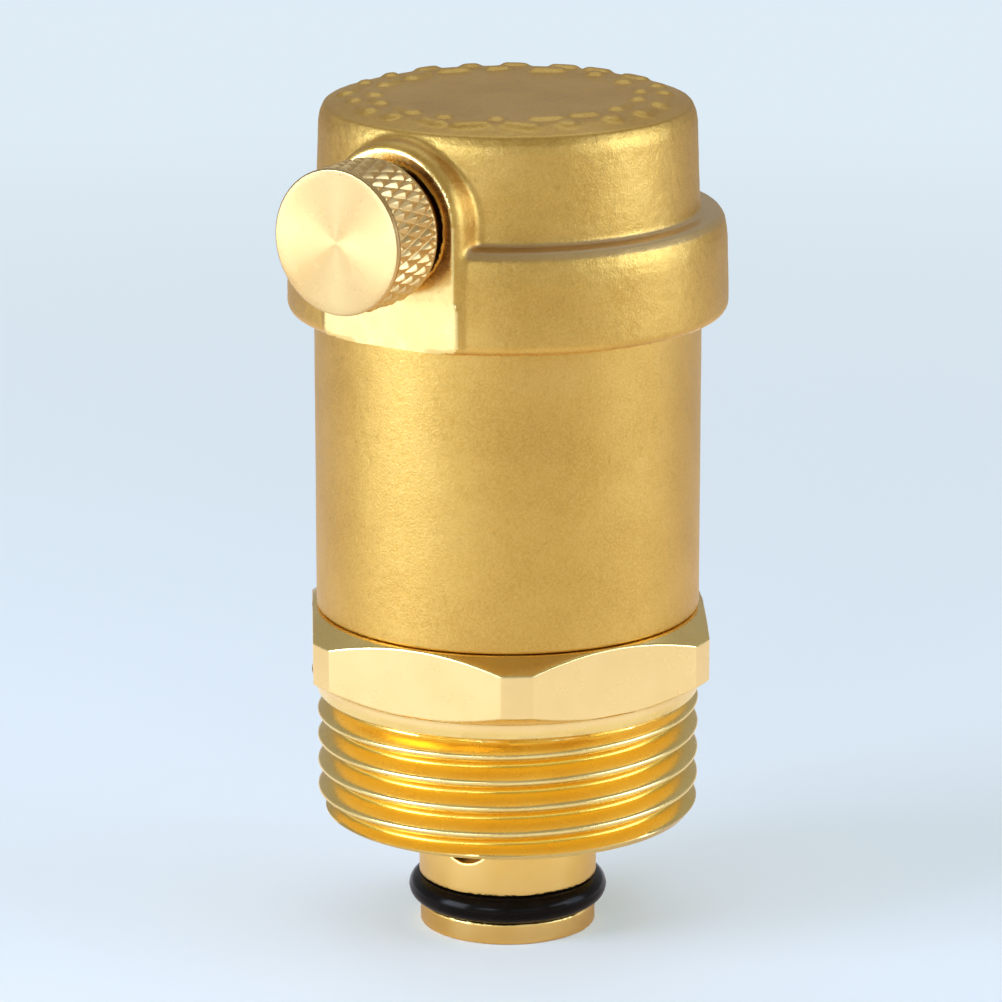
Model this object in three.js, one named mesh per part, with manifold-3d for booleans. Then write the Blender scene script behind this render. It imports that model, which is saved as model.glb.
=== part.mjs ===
// Automatic air vent with a built-in shut-off base, in brass.
// Millimetres, +Z up. The origin is the centre of the plunger's flat lower end,
// on the main axis. The side outlet with its knurled vent cap points to -Y.
//
// How it works: air collects under the cap, the float drops, the lever swings
// its rubber pad off the outlet seat and the air leaves through the side outlet.
// The head screws into the base and its nipple holds the sprung plunger down,
// which keeps the base open. Unscrewing the head lets the plunger rise until
// its O-ring closes the mouth of the base.
import * as THREE from 'three';
import { mergeVertices } from 'three/addons/utils/BufferGeometryUtils.js';
import Module from 'manifold-3d';

const wasm = await Module();
wasm.setup();

const TAU = Math.PI * 2;
const DEG = Math.PI / 180;

// ---------------------------------------------------------------- dimensions
// Names ending in _R are radii. Heights are measured from the joint face
// between base and head; angles are in degrees, from +X unless noted.
const SEAM_Z = 29.0;            // joint face, above the origin

// base: hexagon and G 1 male thread
const HEX_FLATS = 34.0;         // across flats
const HEX_CORNER_R = 18.9;      // turned corner radius
const HEX_PHASE = 5.3;          // angle of one corner
const HEX_CHAMFER_R = 16.9;     // inner edge of both chamfers
const HEX_LOW = -6.0;
const HEX_CHAMFER_SLOPE = Math.tan(30 * DEG);
const COLLAR_R = 16.8;
const COLLAR_LOW = -6.7;
const THREAD_CREST_R = 16.62;
const THREAD_ROOT_R = 15.15;
const THREAD_PITCH = 2.309;
const THREAD_FLANK = 27.5;      // flank angle
const THREAD_CREST = 0.4;       // width of the flat crest
const THREAD_SINK = 0.35;       // depth of the ridge buried in the core
const THREAD_TURNS = 4.75;
const THREAD_RUNOUT = 70;       // angle over which the upper end fades away
const THREAD_STEPS = 24;        // steps per turn
const THREAD_FRONT_Z = -9.0;    // height of one crest at THREAD_FRONT_ANGLE
const THREAD_FRONT_ANGLE = -57;
const THREAD_FRONT_TURN = 4;    // whole turns below that crest
const BASE_LOW = -18.3;         // lower face of the base

// base: inside
const SEAL_BORE_R = 12.7;
const SEAL_BORE_Z = -2.15;
const HEAD_BORE_R = 10.55;      // G 1/2 socket for the head's nipple
const HEAD_BORE_Z = -9.4;
const SPRING_BORE_R = 9.7;
const SPRING_SEAT_Z = -15.2;
const GUIDE_R = 8.05;           // plunger guide
const MOUTH_R = 9.05;           // sealing cone at the lower end
const MOUTH_HEIGHT = 1.0;

// plunger
const STEM_R = 7.78;
const STEM_BORE_R = 5.6;
const STEM_TOP = -9.25;
const STEM_HEAD_R = 9.1;
const STEM_HEAD_Z = -10.25;     // underside of the head
const STEM_BORE_Z = -23.0;
const STEM_LOW = -SEAM_Z;       // flat lower end = origin
const FOOT_R = 7.68;
const FOOT_TOP = -27.15;
const GROOVE_R = 6.15;
const GROOVE_TOP = -24.5;
const CROSS_HOLE_R = 2.5;
const CROSS_HOLE_Z = -19.2;
const CROSS_HOLE_TURN = 4;      // from -Y towards +X
const PLUNGER_RING_Z = -25.82;
const HEAD_SEAL_Z = -1.1;

// float chamber
const BODY_R = 16.62;
const BODY_LOW = 0.15;
const BODY_TOP = 26.12;
const SPIGOT_R = 16.2;          // spigot inside the cap's skirt
const SPIGOT_TOP = 31.8;
const CHAMBER_R = 14.2;
const CHAMBER_FLOOR = 3.0;
const NIPPLE_R = 10.25;
const NIPPLE_LOW = -9.15;
const NIPPLE_BORE_R = 7.5;

// cap
const SKIRT_R = 18.9;
const SKIRT_LOW = 26.27;
const SKIRT_TOP = 35.0;
const CAP_R = 16.45;            // at the ledge; drafted to CAP_TOP_R
const CAP_TOP_R = 16.2;
const CAP_TOP = 44.8;
const CAP_BORE_R = 16.45;
const CAP_SHOULDER = 32.9;
const DOME_R = 13.2;
const DOME_TOP = 42.0;
const GASKET_R = { inner: 13.5, outer: 16.1 };
const GASKET_GAP = 0.1;

// side outlet; lengths along it are distances from the main axis
const OUTLET_Z = 36.6;          // height of the outlet axis
const LUG_ROOT = 9;             // inner end of the lug, inside the cap
const LUG_FACE = 18.0;          // flat face, milled through lug and skirt
const LUG_MILLED = 0.9;         // length milled off the lug
const LUG_HALF = 6.8;
const LUG_ARCH_STEPS = 14;
const LUG_BORE_FLOOR = 16.6;    // floor of the counterbore
const LUG_COUNTERBORE_R = 5.25;
const NOZZLE_R = 5.0;           // collar of the screwed-in outlet
const NOZZLE_UNDER = 17.55;     // underside of the collar, over the O-ring
const NOZZLE_COLLAR_END = 19.3;
const NOZZLE_SHANK_R = 2.7;
const NOZZLE_SPIGOT_R = 3.7;
const NOZZLE_BORE_R = 1.0;
const NOZZLE_TIP = 23.4;
const NOZZLE_SEAL_Y = -17.08;
const SEAT_FACE = 12.2;
const SEAT_STEP = 12.9;         // where the seat's cone meets the shank
const WASHER_R = 3.8;
const WASHER_REAR = 23.5;
const WASHER_FACE = 24.3;
const KNOB_R = 6.2;
const KNOB_REAR = 19.8;
const KNOB_FACE = 25.7;
const KNOB_BORE_R = 4.05;
const KNOB_BORE_END = 24.45;
const KNOB_RIDGES = 32;
const KNOB_RIDGE_DEPTH = 0.3;

// bracket and its screw
const BRACKET_HALF = 3.6;       // half width over the ears
const EAR_INSIDE = 2.8;
const BRACKET_PLATE_Z = [41.1, 41.9];
const BRACKET_PLATE_MIDDLE = 41.5;
const SCREW_Y = -4;

// valve lever, pin and float
const PIVOT_Y = -9.5;
const PIVOT_Z = 34.6;
const LEVER_REACH = -PIVOT_Y;   // pivot to float link, on the main axis
const LEVER_DROOP = 18.43;      // angle below level with the float down
const LEVER_HALF = 1.3;         // half thickness
const PIN_R = 0.7;
const PIN_HOLE_R = 1.0;
const CLIP_X = 4.15;
const CLIP_HALF = 0.15;         // half thickness
const PAD_R = 1.7;
const PAD_REAR = 1.8;           // from the pivot, with the lever level
const PAD_FACE = 2.6;
const FLOAT_R = 12.5;
const FLOAT_WALL = 1.1;
const FLOAT_LOW = 4.3;
const FLOAT_TOP = 27.0;
const FLOAT_CEILING = 25.8;
const HOOK_HALF = 2.9;
const PRONG_INSIDE = 1.9;
const LINK_Z = PIVOT_Z - LEVER_REACH * Math.sin(LEVER_DROOP * DEG);

// -------------------------------------------------------------------- solids
// geometry -> manifold solid: welded, without collapsed triangles, facing out
function solid(geometry) {
  const bare = geometry.clone();
  bare.deleteAttribute('normal');
  bare.deleteAttribute('uv');
  const welded = mergeVertices(bare, 1e-4);
  const { position } = welded.attributes;
  const index = welded.index.array;
  const kept = [];
  let volume = 0;
  for (let i = 0; i < index.length; i += 3) {
    const triangle = [index[i], index[i + 1], index[i + 2]];
    if (new Set(triangle).size < 3) continue;
    kept.push(...triangle);
    const [first, second, third] = triangle.map(
      (vertex) => new THREE.Vector3().fromBufferAttribute(position, vertex));
    volume += first.dot(second.cross(third));
  }
  if (volume < 0) {
    for (let i = 0; i < kept.length; i += 3) {
      [kept[i + 1], kept[i + 2]] = [kept[i + 2], kept[i + 1]];
    }
  }
  return new wasm.Manifold(new wasm.Mesh({
    numProp: 3,
    vertProperties: Float32Array.from(position.array),
    triVerts: Uint32Array.from(kept),
  }));
}

// manifold solid -> geometry
function geometryOf(manifold) {
  const mesh = manifold.getMesh();
  const geometry = new THREE.BufferGeometry();
  const positions = Float32Array.from(mesh.vertProperties);
  geometry.setAttribute('position', new THREE.BufferAttribute(positions, 3));
  geometry.setIndex(Array.from(mesh.triVerts));
  geometry.computeVertexNormals();
  return geometry;
}

const union = (...geometries) => geometries.map(solid).reduce((sum, part) => sum.add(part));

const cut = (body, ...tools) => tools.reduce((rest, tool) => rest.subtract(solid(tool)), body);

// -------------------------------------------------------------------- shapes
const vectors = (points) => points.map(([x, y]) => new THREE.Vector2(x, y));

// repeats the first point, so that a turned profile closes on itself
const loop = (points) => [...points, points[0]];

function closed(path) {
  path.closePath();
  return path;
}

// points round a centre; radiusAt gives the radius of each, direction is 1 or -1
function around(count, radiusAt, [x, y] = [0, 0], direction = 1) {
  return Array.from({ length: count }, (_, i) => {
    const angle = direction * TAU * i / count;
    return [x + radiusAt(i) * Math.cos(angle), y + radiusAt(i) * Math.sin(angle)];
  });
}

const extrude = (outline, depth, steps = 1) =>
  new THREE.ExtrudeGeometry(outline, { depth, steps, bevelEnabled: false });

// solid of revolution about Z from [radius, height] points; phase in degrees
const lathe = (points, segments, phase = 0) =>
  new THREE.LatheGeometry(vectors(points), segments, phase * DEG).rotateX(Math.PI / 2);

// the same about an axis that points to -Y, from [radius, distance] points
const latheOut = (points, segments) => lathe(points, segments).rotateX(Math.PI / 2);

function rod(radius, length, axis, segments) {
  const geometry = new THREE.CylinderGeometry(radius, radius, length, segments);
  if (axis === 'x') geometry.rotateZ(Math.PI / 2);
  if (axis === 'z') geometry.rotateX(Math.PI / 2);
  return geometry;
}

// box from its [low, high] range along each axis
function box(...ranges) {
  const size = ranges.map(([low, high]) => high - low);
  const centre = ranges.map(([low, high]) => (low + high) / 2);
  return new THREE.BoxGeometry(...size).translate(...centre);
}

// an outline of [y, z] points, extruded along X; hole: { centre, sides }
function plateX(outline, [low, high], hole) {
  const shape = new THREE.Shape(vectors(outline));
  if (hole) {
    const rim = around(hole.sides, () => PIN_HOLE_R, hole.centre, -1);
    shape.holes.push(closed(new THREE.Path(vectors(rim))));
  }
  return extrude(shape, high - low)
    .rotateX(Math.PI / 2)
    .rotateZ(Math.PI / 2)       // now outline x -> Y, outline y -> Z, depth -> +X
    .translate(low, 0, 0);
}

class Helix extends THREE.Curve {
  constructor({ radius, low, high, turns, phase = 0 }) {
    super();
    Object.assign(this, { radius, low, high, turns, phase });
  }

  getPoint(t, target = new THREE.Vector3()) {
    const angle = this.phase + t * this.turns * TAU;
    return target.set(this.radius * Math.cos(angle), this.radius * Math.sin(angle),
      this.low + (this.high - this.low) * t);
  }
}

function coil({ wireR, steps, sides, ...helix }) {
  const section = closed(new THREE.Shape(vectors(around(sides, () => wireR))));
  const extrudePath = new Helix(helix);
  return new THREE.ExtrudeGeometry(section, { steps, extrudePath, bevelEnabled: false });
}

// ---------------------------------------------------------------------- base
function hexagon() {
  const cornerR = HEX_FLATS / Math.sqrt(3);
  const corners = Array.from({ length: 6 }, (_, i) => {
    const angle = (HEX_PHASE + 60 * i) * DEG;
    return [cornerR * Math.cos(angle), cornerR * Math.sin(angle)];
  });
  const bar = extrude(new THREE.Shape(vectors(corners)), -HEX_LOW).translate(0, 0, HEX_LOW);
  const drop = (HEX_CORNER_R - HEX_CHAMFER_R) * HEX_CHAMFER_SLOPE;
  const turned = lathe([
    [0, HEX_LOW], [HEX_CHAMFER_R + 0.1, HEX_LOW], [HEX_CORNER_R, HEX_LOW + drop],
    [HEX_CORNER_R, -drop], [HEX_CHAMFER_R, 0], [0, 0],
  ], 36, HEX_PHASE);
  return solid(bar).intersect(solid(turned));
}

// a straight bar with the section of the thread, wound into a right-hand helix
function threadRidge() {
  const depth = THREAD_CREST_R - THREAD_ROOT_R;
  const halfCrest = THREAD_CREST / 2;
  const halfRoot = halfCrest + depth * Math.tan(THREAD_FLANK * DEG);
  const section = new THREE.Shape(vectors([
    [-THREAD_SINK, -halfRoot], [0, -halfRoot], [depth, -halfCrest],
    [depth, halfCrest], [0, halfRoot], [-THREAD_SINK, halfRoot],
  ]));
  const ridge = extrude(section, 1, Math.round(THREAD_TURNS * THREAD_STEPS));
  const startAngle = THREAD_FRONT_ANGLE - 360 * THREAD_FRONT_TURN;
  const startZ = THREAD_FRONT_Z - THREAD_PITCH * THREAD_FRONT_TURN;
  const { position } = ridge.attributes;
  for (let i = 0; i < position.count; i++) {
    const x = position.getX(i);
    const y = position.getY(i);
    const along = position.getZ(i);
    const angleLeft = (1 - along) * THREAD_TURNS * TAU;   // to the upper end
    const fade = Math.min(1, angleLeft / (THREAD_RUNOUT * DEG));
    // the faded crest ends just below the root, hidden in the core
    const radius = THREAD_ROOT_R + (x > 0 ? x * fade - 0.12 * (1 - fade) : x);
    const angle = startAngle * DEG + along * THREAD_TURNS * TAU;
    position.setXYZ(i, radius * Math.cos(angle), radius * Math.sin(angle),
      startZ + y + THREAD_PITCH * THREAD_TURNS * along);
  }
  return ridge;
}

function valveBase() {
  // turns the facets of the core so that they meet the steps of the thread
  const phase = THREAD_FRONT_ANGLE % (360 / THREAD_STEPS);
  const core = lathe([
    [0, BASE_LOW], [15.95, BASE_LOW], [15.95, BASE_LOW + 0.3],
    [THREAD_ROOT_R, BASE_LOW + 0.8], [THREAD_ROOT_R, COLLAR_LOW - 0.9],
    [COLLAR_R - 0.35, COLLAR_LOW], [COLLAR_R, COLLAR_LOW + 0.3],
    [COLLAR_R, HEX_LOW + 0.2], [0, HEX_LOW + 0.2],
  ], THREAD_STEPS, phase);
  // trims the lower end of the thread to the chamfered lower face
  const limitR = THREAD_CREST_R + 0.3;
  const limit = lathe([
    [0, BASE_LOW], [15.85, BASE_LOW], [limitR, BASE_LOW + 1.1],
    [limitR, COLLAR_LOW + 0.2], [25, COLLAR_LOW + 0.2], [25, 1], [0, 1],
  ], THREAD_STEPS, phase);
  const inside = lathe([
    [0, BASE_LOW - 1], [MOUTH_R + 1, BASE_LOW - 1], [MOUTH_R, BASE_LOW],
    [GUIDE_R, BASE_LOW + MOUTH_HEIGHT], [GUIDE_R, SPRING_SEAT_Z],
    [SPRING_BORE_R, SPRING_SEAT_Z], [SPRING_BORE_R, HEAD_BORE_Z],
    [HEAD_BORE_R, HEAD_BORE_Z], [HEAD_BORE_R, SEAL_BORE_Z],
    [SEAL_BORE_R, SEAL_BORE_Z], [SEAL_BORE_R, -0.3],
    [SEAL_BORE_R + 0.5, 0.2], [SEAL_BORE_R + 0.5, 1], [0, 1],
  ], 28);
  const outside = union(core, threadRidge()).intersect(solid(limit)).add(hexagon());
  return geometryOf(cut(outside, inside));
}

// ------------------------------------------------------------------- plunger
function shutoffPlunger() {
  const body = lathe([
    [0, STEM_LOW], [FOOT_R - 0.4, STEM_LOW], [FOOT_R, STEM_LOW + 0.4], [FOOT_R, FOOT_TOP],
    [GROOVE_R, FOOT_TOP], [GROOVE_R, GROOVE_TOP],
    [STEM_R - 0.2, GROOVE_TOP], [STEM_R, GROOVE_TOP + 0.2], [STEM_R, STEM_HEAD_Z],
    [STEM_HEAD_R, STEM_HEAD_Z], [STEM_HEAD_R, STEM_TOP],
    [STEM_BORE_R, STEM_TOP], [STEM_BORE_R, STEM_BORE_Z], [0, STEM_BORE_Z - 1.2],
  ], 28);
  const crossHoles = ['x', 'y'].map((axis) => rod(CROSS_HOLE_R, 30, axis, 16)
    .rotateZ(CROSS_HOLE_TURN * DEG)
    .translate(0, 0, CROSS_HOLE_Z));
  return geometryOf(solid(body).subtract(union(...crossHoles)));
}

function plungerSpring() {
  return coil({
    radius: 8.6, low: SPRING_SEAT_Z + 0.5, high: STEM_HEAD_Z - 0.5, turns: 3.5,
    wireR: 0.35, steps: 44, sides: 6,
  });
}

// ---------------------------------------------------------------------- head
function floatChamber() {
  return lathe(loop([
    [NIPPLE_BORE_R, NIPPLE_LOW], [NIPPLE_R - 0.6, NIPPLE_LOW],
    [NIPPLE_R, NIPPLE_LOW + 0.6], [NIPPLE_R, BODY_LOW],
    [BODY_R - 0.35, BODY_LOW], [BODY_R, BODY_LOW + 0.35], [BODY_R, BODY_TOP],
    [SPIGOT_R, BODY_TOP], [SPIGOT_R, SPIGOT_TOP - 0.4], [SPIGOT_R - 0.4, SPIGOT_TOP],
    [CHAMBER_R, SPIGOT_TOP], [CHAMBER_R, CHAMBER_FLOOR + 0.8],
    [CHAMBER_R - 0.8, CHAMBER_FLOOR], [NIPPLE_BORE_R + 0.6, CHAMBER_FLOOR],
    [NIPPLE_BORE_R, CHAMBER_FLOOR - 0.6],
  ]), 36);
}

function capGasket() {
  const low = SPIGOT_TOP + GASKET_GAP;
  const high = CAP_SHOULDER - GASKET_GAP;
  const { inner, outer } = GASKET_R;
  return lathe(loop([[inner, low], [outer, low], [outer, high], [inner, high]]), 28);
}

// round-topped block that carries the outlet
function capLug() {
  const outline = Array.from({ length: LUG_ARCH_STEPS + 1 }, (_, i) => {
    const angle = Math.PI * i / LUG_ARCH_STEPS;
    return [LUG_HALF * Math.cos(angle), OUTLET_Z + LUG_HALF * Math.sin(angle)];
  });
  outline.push([-LUG_HALF, SKIRT_LOW], [LUG_HALF, SKIRT_LOW]);
  return extrude(new THREE.Shape(vectors(outline)), LUG_FACE + LUG_MILLED - LUG_ROOT)
    .rotateX(Math.PI / 2)       // outline y -> Z, depth -> -Y
    .translate(0, -LUG_ROOT, 0);
}

function cap() {
  const outer = lathe([
    [0, SKIRT_LOW], [SKIRT_R - 1.2, SKIRT_LOW], [SKIRT_R - 0.35, SKIRT_LOW + 0.4],
    [SKIRT_R, SKIRT_LOW + 1.2], [SKIRT_R, SKIRT_TOP - 1.3],
    [SKIRT_R - 0.4, SKIRT_TOP - 0.4], [SKIRT_R - 1.3, SKIRT_TOP],
    [CAP_R + 0.4, SKIRT_TOP + 0.1], [CAP_R, SKIRT_TOP + 0.6],
    [CAP_TOP_R, CAP_TOP - 1.3], [CAP_TOP_R - 0.5, CAP_TOP - 0.6],
    [CAP_TOP_R - 2.2, CAP_TOP], [0, CAP_TOP],
  ], 36);
  const millRange = [SKIRT_LOW - 1, CAP_TOP + 1];
  const milled = box([-12, 12], [-25, -LUG_FACE], millRange);
  const hollow = lathe([
    [0, SKIRT_LOW - 1], [CAP_BORE_R, SKIRT_LOW - 1], [CAP_BORE_R, CAP_SHOULDER],
    [DOME_R, CAP_SHOULDER], [DOME_R, DOME_TOP - 1.5], [DOME_R - 1.5, DOME_TOP], [0, DOME_TOP],
  ], 32);
  const shankBoreR = NOZZLE_SHANK_R + 0.1;
  const bore = latheOut([
    [0, 8], [shankBoreR, 8], [shankBoreR, LUG_BORE_FLOOR],
    [LUG_COUNTERBORE_R, LUG_BORE_FLOOR], [LUG_COUNTERBORE_R, 21], [0, 21],
  ], 32).translate(0, 0, OUTLET_Z);
  const screwHole = rod(1.1, 4, 'z', 12).translate(0, SCREW_Y, DOME_TOP);
  return geometryOf(cut(union(outer, capLug()), milled, hollow, bore, screwHole));
}

// --------------------------------------------------------------- side outlet
function outletNozzle() {
  return latheOut(loop([
    [NOZZLE_BORE_R, SEAT_FACE], [1.8, SEAT_FACE], [2.0, SEAT_STEP],
    [NOZZLE_SHANK_R - 0.3, SEAT_STEP], [NOZZLE_SHANK_R, SEAT_STEP + 0.3],
    [NOZZLE_SHANK_R, NOZZLE_UNDER], [NOZZLE_R, NOZZLE_UNDER], [NOZZLE_R, NOZZLE_COLLAR_END],
    [NOZZLE_SPIGOT_R, NOZZLE_COLLAR_END], [NOZZLE_SPIGOT_R, NOZZLE_TIP - 0.5],
    [NOZZLE_SPIGOT_R - 0.5, NOZZLE_TIP], [NOZZLE_BORE_R, NOZZLE_TIP],
  ]), 20);
}

// a plain disc about the outlet direction
const discOut = (radius, rear, face, segments) =>
  latheOut([[0, rear], [radius, rear], [radius, face], [0, face]], segments);

// knob with straight ridges standing for the diamond knurl
function ventCap() {
  const ridges = around(KNOB_RIDGES * 2, (i) => (i % 2 ? KNOB_R - KNOB_RIDGE_DEPTH : KNOB_R));
  const bar = extrude(closed(new THREE.Shape(vectors(ridges))), KNOB_FACE - KNOB_REAR)
    .translate(0, 0, KNOB_REAR)
    .rotateX(Math.PI / 2);
  const turned = latheOut([
    [0, KNOB_REAR], [KNOB_R - 0.35, KNOB_REAR], [KNOB_R + 0.1, KNOB_REAR + 0.45],
    [KNOB_R + 0.1, KNOB_FACE - 0.65], [KNOB_R - 0.55, KNOB_FACE], [0, KNOB_FACE],
  ], 32);
  const bore = latheOut([
    [0, KNOB_REAR - 1], [KNOB_BORE_R + 0.5, KNOB_REAR - 1], [KNOB_BORE_R + 0.5, KNOB_REAR],
    [KNOB_BORE_R, KNOB_REAR + 0.5], [KNOB_BORE_R, KNOB_BORE_END], [0, KNOB_BORE_END],
  ], 28);
  return geometryOf(cut(solid(bar).intersect(solid(turned)), bore));
}

// ------------------------------------------------------- bracket, pin, lever
// one ear of the bracket, [y, z]
const EAR_OUTLINE = [
  [-11.0, BRACKET_PLATE_MIDDLE], [-11.0, 35.2], [-10.4, 33.5], [-8.6, 33.5],
  [-8.0, 35.2], [-7.0, 38.5], [-7.0, BRACKET_PLATE_MIDDLE],
];

// lever when level, [y, z] from the pivot
const LEVER_OUTLINE = [
  [-1.7, -0.6], [-1.0, -1.5], [0.4, -1.7], [1.5, -1.0], [7.4, -0.8], [8.0, -1.8],
  [11.4, -1.8], [12.0, -1.2], [12.0, 1.2], [11.4, 1.8], [8.0, 1.8], [7.4, 0.8],
  [2.0, 1.0], [1.1, 2.0], [1.0, 3.6], [0.6, 4.0], [-1.1, 4.0], [-1.5, 3.6], [-1.5, 0.6],
];
const LEVER_SLOT = [[8.65, -0.9], [10.85, -0.9], [10.85, 0.9], [8.65, 0.9]];

function leverBracket() {
  const plate = box([-BRACKET_HALF, BRACKET_HALF], [-11.0, -2.0], BRACKET_PLATE_Z);
  const ears = [[-BRACKET_HALF, -EAR_INSIDE], [EAR_INSIDE, BRACKET_HALF]].map(
    (range) => plateX(EAR_OUTLINE, range, { centre: [PIVOT_Y, PIVOT_Z], sides: 12 }));
  const hole = rod(1.3, 4, 'z', 14).translate(0, SCREW_Y, BRACKET_PLATE_MIDDLE);
  return geometryOf(cut(union(plate, ...ears), hole));
}

function bracketScrew() {
  const screw = lathe([
    [0, 39.9], [1.6, 39.9], [2.0, 40.2], [2.0, 41.05],
    [0.9, 41.05], [0.9, 43.3], [0.5, 43.7], [0, 43.7],
  ], 20).translate(0, SCREW_Y, 0);
  const slot = box([-3, 3], [SCREW_Y - 0.3, SCREW_Y + 0.3], [39.5, 40.5]);
  return geometryOf(cut(solid(screw), slot));
}

function pivotPin() {
  const pin = rod(PIN_R, 9.2, 'x', 14).translate(-0.1, PIVOT_Y, PIVOT_Z);
  const head = rod(1.4, 0.7, 'x', 16).translate(-4.25, PIVOT_Y, PIVOT_Z);
  // ring that cuts the clip's groove
  const groove = cut(solid(rod(1.2, 0.5, 'x', 16)), rod(0.45, 1, 'x', 12));
  return geometryOf(union(pin, head).subtract(groove.translate([CLIP_X, PIVOT_Y, PIVOT_Z])));
}

function pinClip() {
  const ring = lathe(loop([
    [0.6, -CLIP_HALF], [1.6, -CLIP_HALF], [1.6, CLIP_HALF], [0.6, CLIP_HALF],
  ]), 16).rotateY(Math.PI / 2);
  return geometryOf(cut(solid(ring), box([-1, 1], [0.2, 3], [-0.5, 0.5])));
}

function leverSpring() {
  return coil({
    radius: 1.5, low: 0, high: 0.95, turns: 2.5, phase: Math.PI / 2,
    wireR: 0.15, steps: 28, sides: 5,
  });
}

function lever() {
  const range = [-LEVER_HALF, LEVER_HALF];
  const arm = plateX(LEVER_OUTLINE, range, { centre: [0, 0], sides: 14 });
  return geometryOf(cut(solid(arm), plateX(LEVER_SLOT, [-2, 2])));
}

// --------------------------------------------------------------------- float
// a cup, open below, with a blind hole in the top for the hook
function float() {
  const insideR = FLOAT_R - FLOAT_WALL;
  return lathe([
    [0, 23.6], [2.8, 23.6], [2.8, FLOAT_CEILING],
    [insideR - 0.8, FLOAT_CEILING], [insideR, FLOAT_CEILING - 0.8], [insideR, FLOAT_LOW],
    [FLOAT_R, FLOAT_LOW], [FLOAT_R, FLOAT_TOP - 1.2], [FLOAT_R - 1.2, FLOAT_TOP],
    [1.1, FLOAT_TOP], [1.1, 24.6], [0, 24.6],
  ], 28);
}

function floatHook() {
  const stem = rod(0.9, 4.0, 'z', 12).translate(0, 0, 26.8);
  const bridge = box([-HOOK_HALF, HOOK_HALF], [-1.0, 1.0], [27.3, 28.3]);
  const prongs = [[-HOOK_HALF, -PRONG_INSIDE], [PRONG_INSIDE, HOOK_HALF]].map(
    (range) => box(range, [-0.9, 0.9], [28.0, LINK_Z + 1.0]));
  const bar = rod(0.5, 5.0, 'x', 12).translate(0, 0, LINK_Z);
  return geometryOf(union(stem, bridge, ...prongs, bar));
}

// ------------------------------------------------------------------ assembly
const MATERIALS = {
  forged: { color: 0xb08d4c, roughness: 0.5, metalness: 0.9 },
  brass: { color: 0xd9b868, roughness: 0.28, metalness: 1.0 },
  rubber: { color: 0x101114, roughness: 0.45, metalness: 0.0 },
  steel: { color: 0xb9bbbd, roughness: 0.3, metalness: 1.0 },
  white: { color: 0xe9e6dc, roughness: 0.5, metalness: 0.0 },
  grey: { color: 0x3c4046, roughness: 0.5, metalness: 0.0 },
};

function add(parent, name, geometry, material, position = [0, 0, 0]) {
  const mesh = new THREE.Mesh(geometry, new THREE.MeshStandardMaterial(MATERIALS[material]));
  mesh.name = name;
  mesh.position.set(...position);
  parent.add(mesh);
  return mesh;
}

function addGroup(parent, ...position) {
  const group = new THREE.Group();
  group.position.set(...position);
  parent.add(group);
  return group;
}

const root = new THREE.Group();
const unit = addGroup(root, 0, 0, SEAM_Z);

add(unit, 'valve_base', valveBase(), 'brass');
add(unit, 'shutoff_plunger', shutoffPlunger(), 'brass');
add(unit, 'plunger_o_ring', new THREE.TorusGeometry(7.47, 1.2, 10, 28), 'rubber',
  [0, 0, PLUNGER_RING_Z]);
add(unit, 'plunger_spring', plungerSpring(), 'steel');
add(unit, 'head_seal', new THREE.TorusGeometry(11.5, 0.9, 8, 28), 'rubber',
  [0, 0, HEAD_SEAL_Z]);
add(unit, 'float_chamber', floatChamber(), 'forged');
add(unit, 'cap_gasket', capGasket(), 'rubber');
add(unit, 'cap', cap(), 'forged');

const outlet = addGroup(unit, 0, 0, OUTLET_Z);
add(outlet, 'outlet_nozzle', outletNozzle(), 'brass');
add(outlet, 'nozzle_seal', new THREE.TorusGeometry(4.0, 0.45, 6, 20), 'rubber',
  [0, NOZZLE_SEAL_Y, 0]).rotation.x = Math.PI / 2;
add(outlet, 'vent_cap_washer', discOut(WASHER_R, WASHER_REAR, WASHER_FACE, 24), 'rubber');
add(outlet, 'vent_cap', ventCap(), 'brass');

add(unit, 'lever_bracket', leverBracket(), 'steel');
add(unit, 'bracket_screw', bracketScrew(), 'steel');
add(unit, 'pivot_pin', pivotPin(), 'steel');
add(unit, 'pin_clip', pinClip(), 'steel', [CLIP_X, PIVOT_Y, PIVOT_Z]);
// round the pin, beside the lever hub
add(unit, 'lever_spring', leverSpring(), 'steel',
  [1.6, PIVOT_Y, PIVOT_Z]).rotation.y = Math.PI / 2;

// turned about the pivot; level = valve shut
const swing = addGroup(unit, 0, PIVOT_Y, PIVOT_Z);
swing.rotation.x = -LEVER_DROOP * DEG;
add(swing, 'lever', lever(), 'grey');
add(swing, 'valve_pad', discOut(PAD_R, PAD_REAR, PAD_FACE, 20), 'rubber',
  [0, 0, OUTLET_Z - PIVOT_Z]);

add(unit, 'float', float(), 'white');
add(unit, 'float_hook', floatHook(), 'steel');

export default root;
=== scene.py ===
# A brass float-operated air vent, standing upright on Z: a hexagonal valve base with a threaded
# end, a round float chamber above it and a forged cap on top. The outlet with its knurled cap
# points along -Y from a lug on the forged cap. The scene is in metres. Sizes in this script are
# millimetres, with z = 0 on the joint face between base and head, unless a comment says otherwise.
import bpy
import math
import numpy as np
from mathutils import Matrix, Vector, noise


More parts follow.
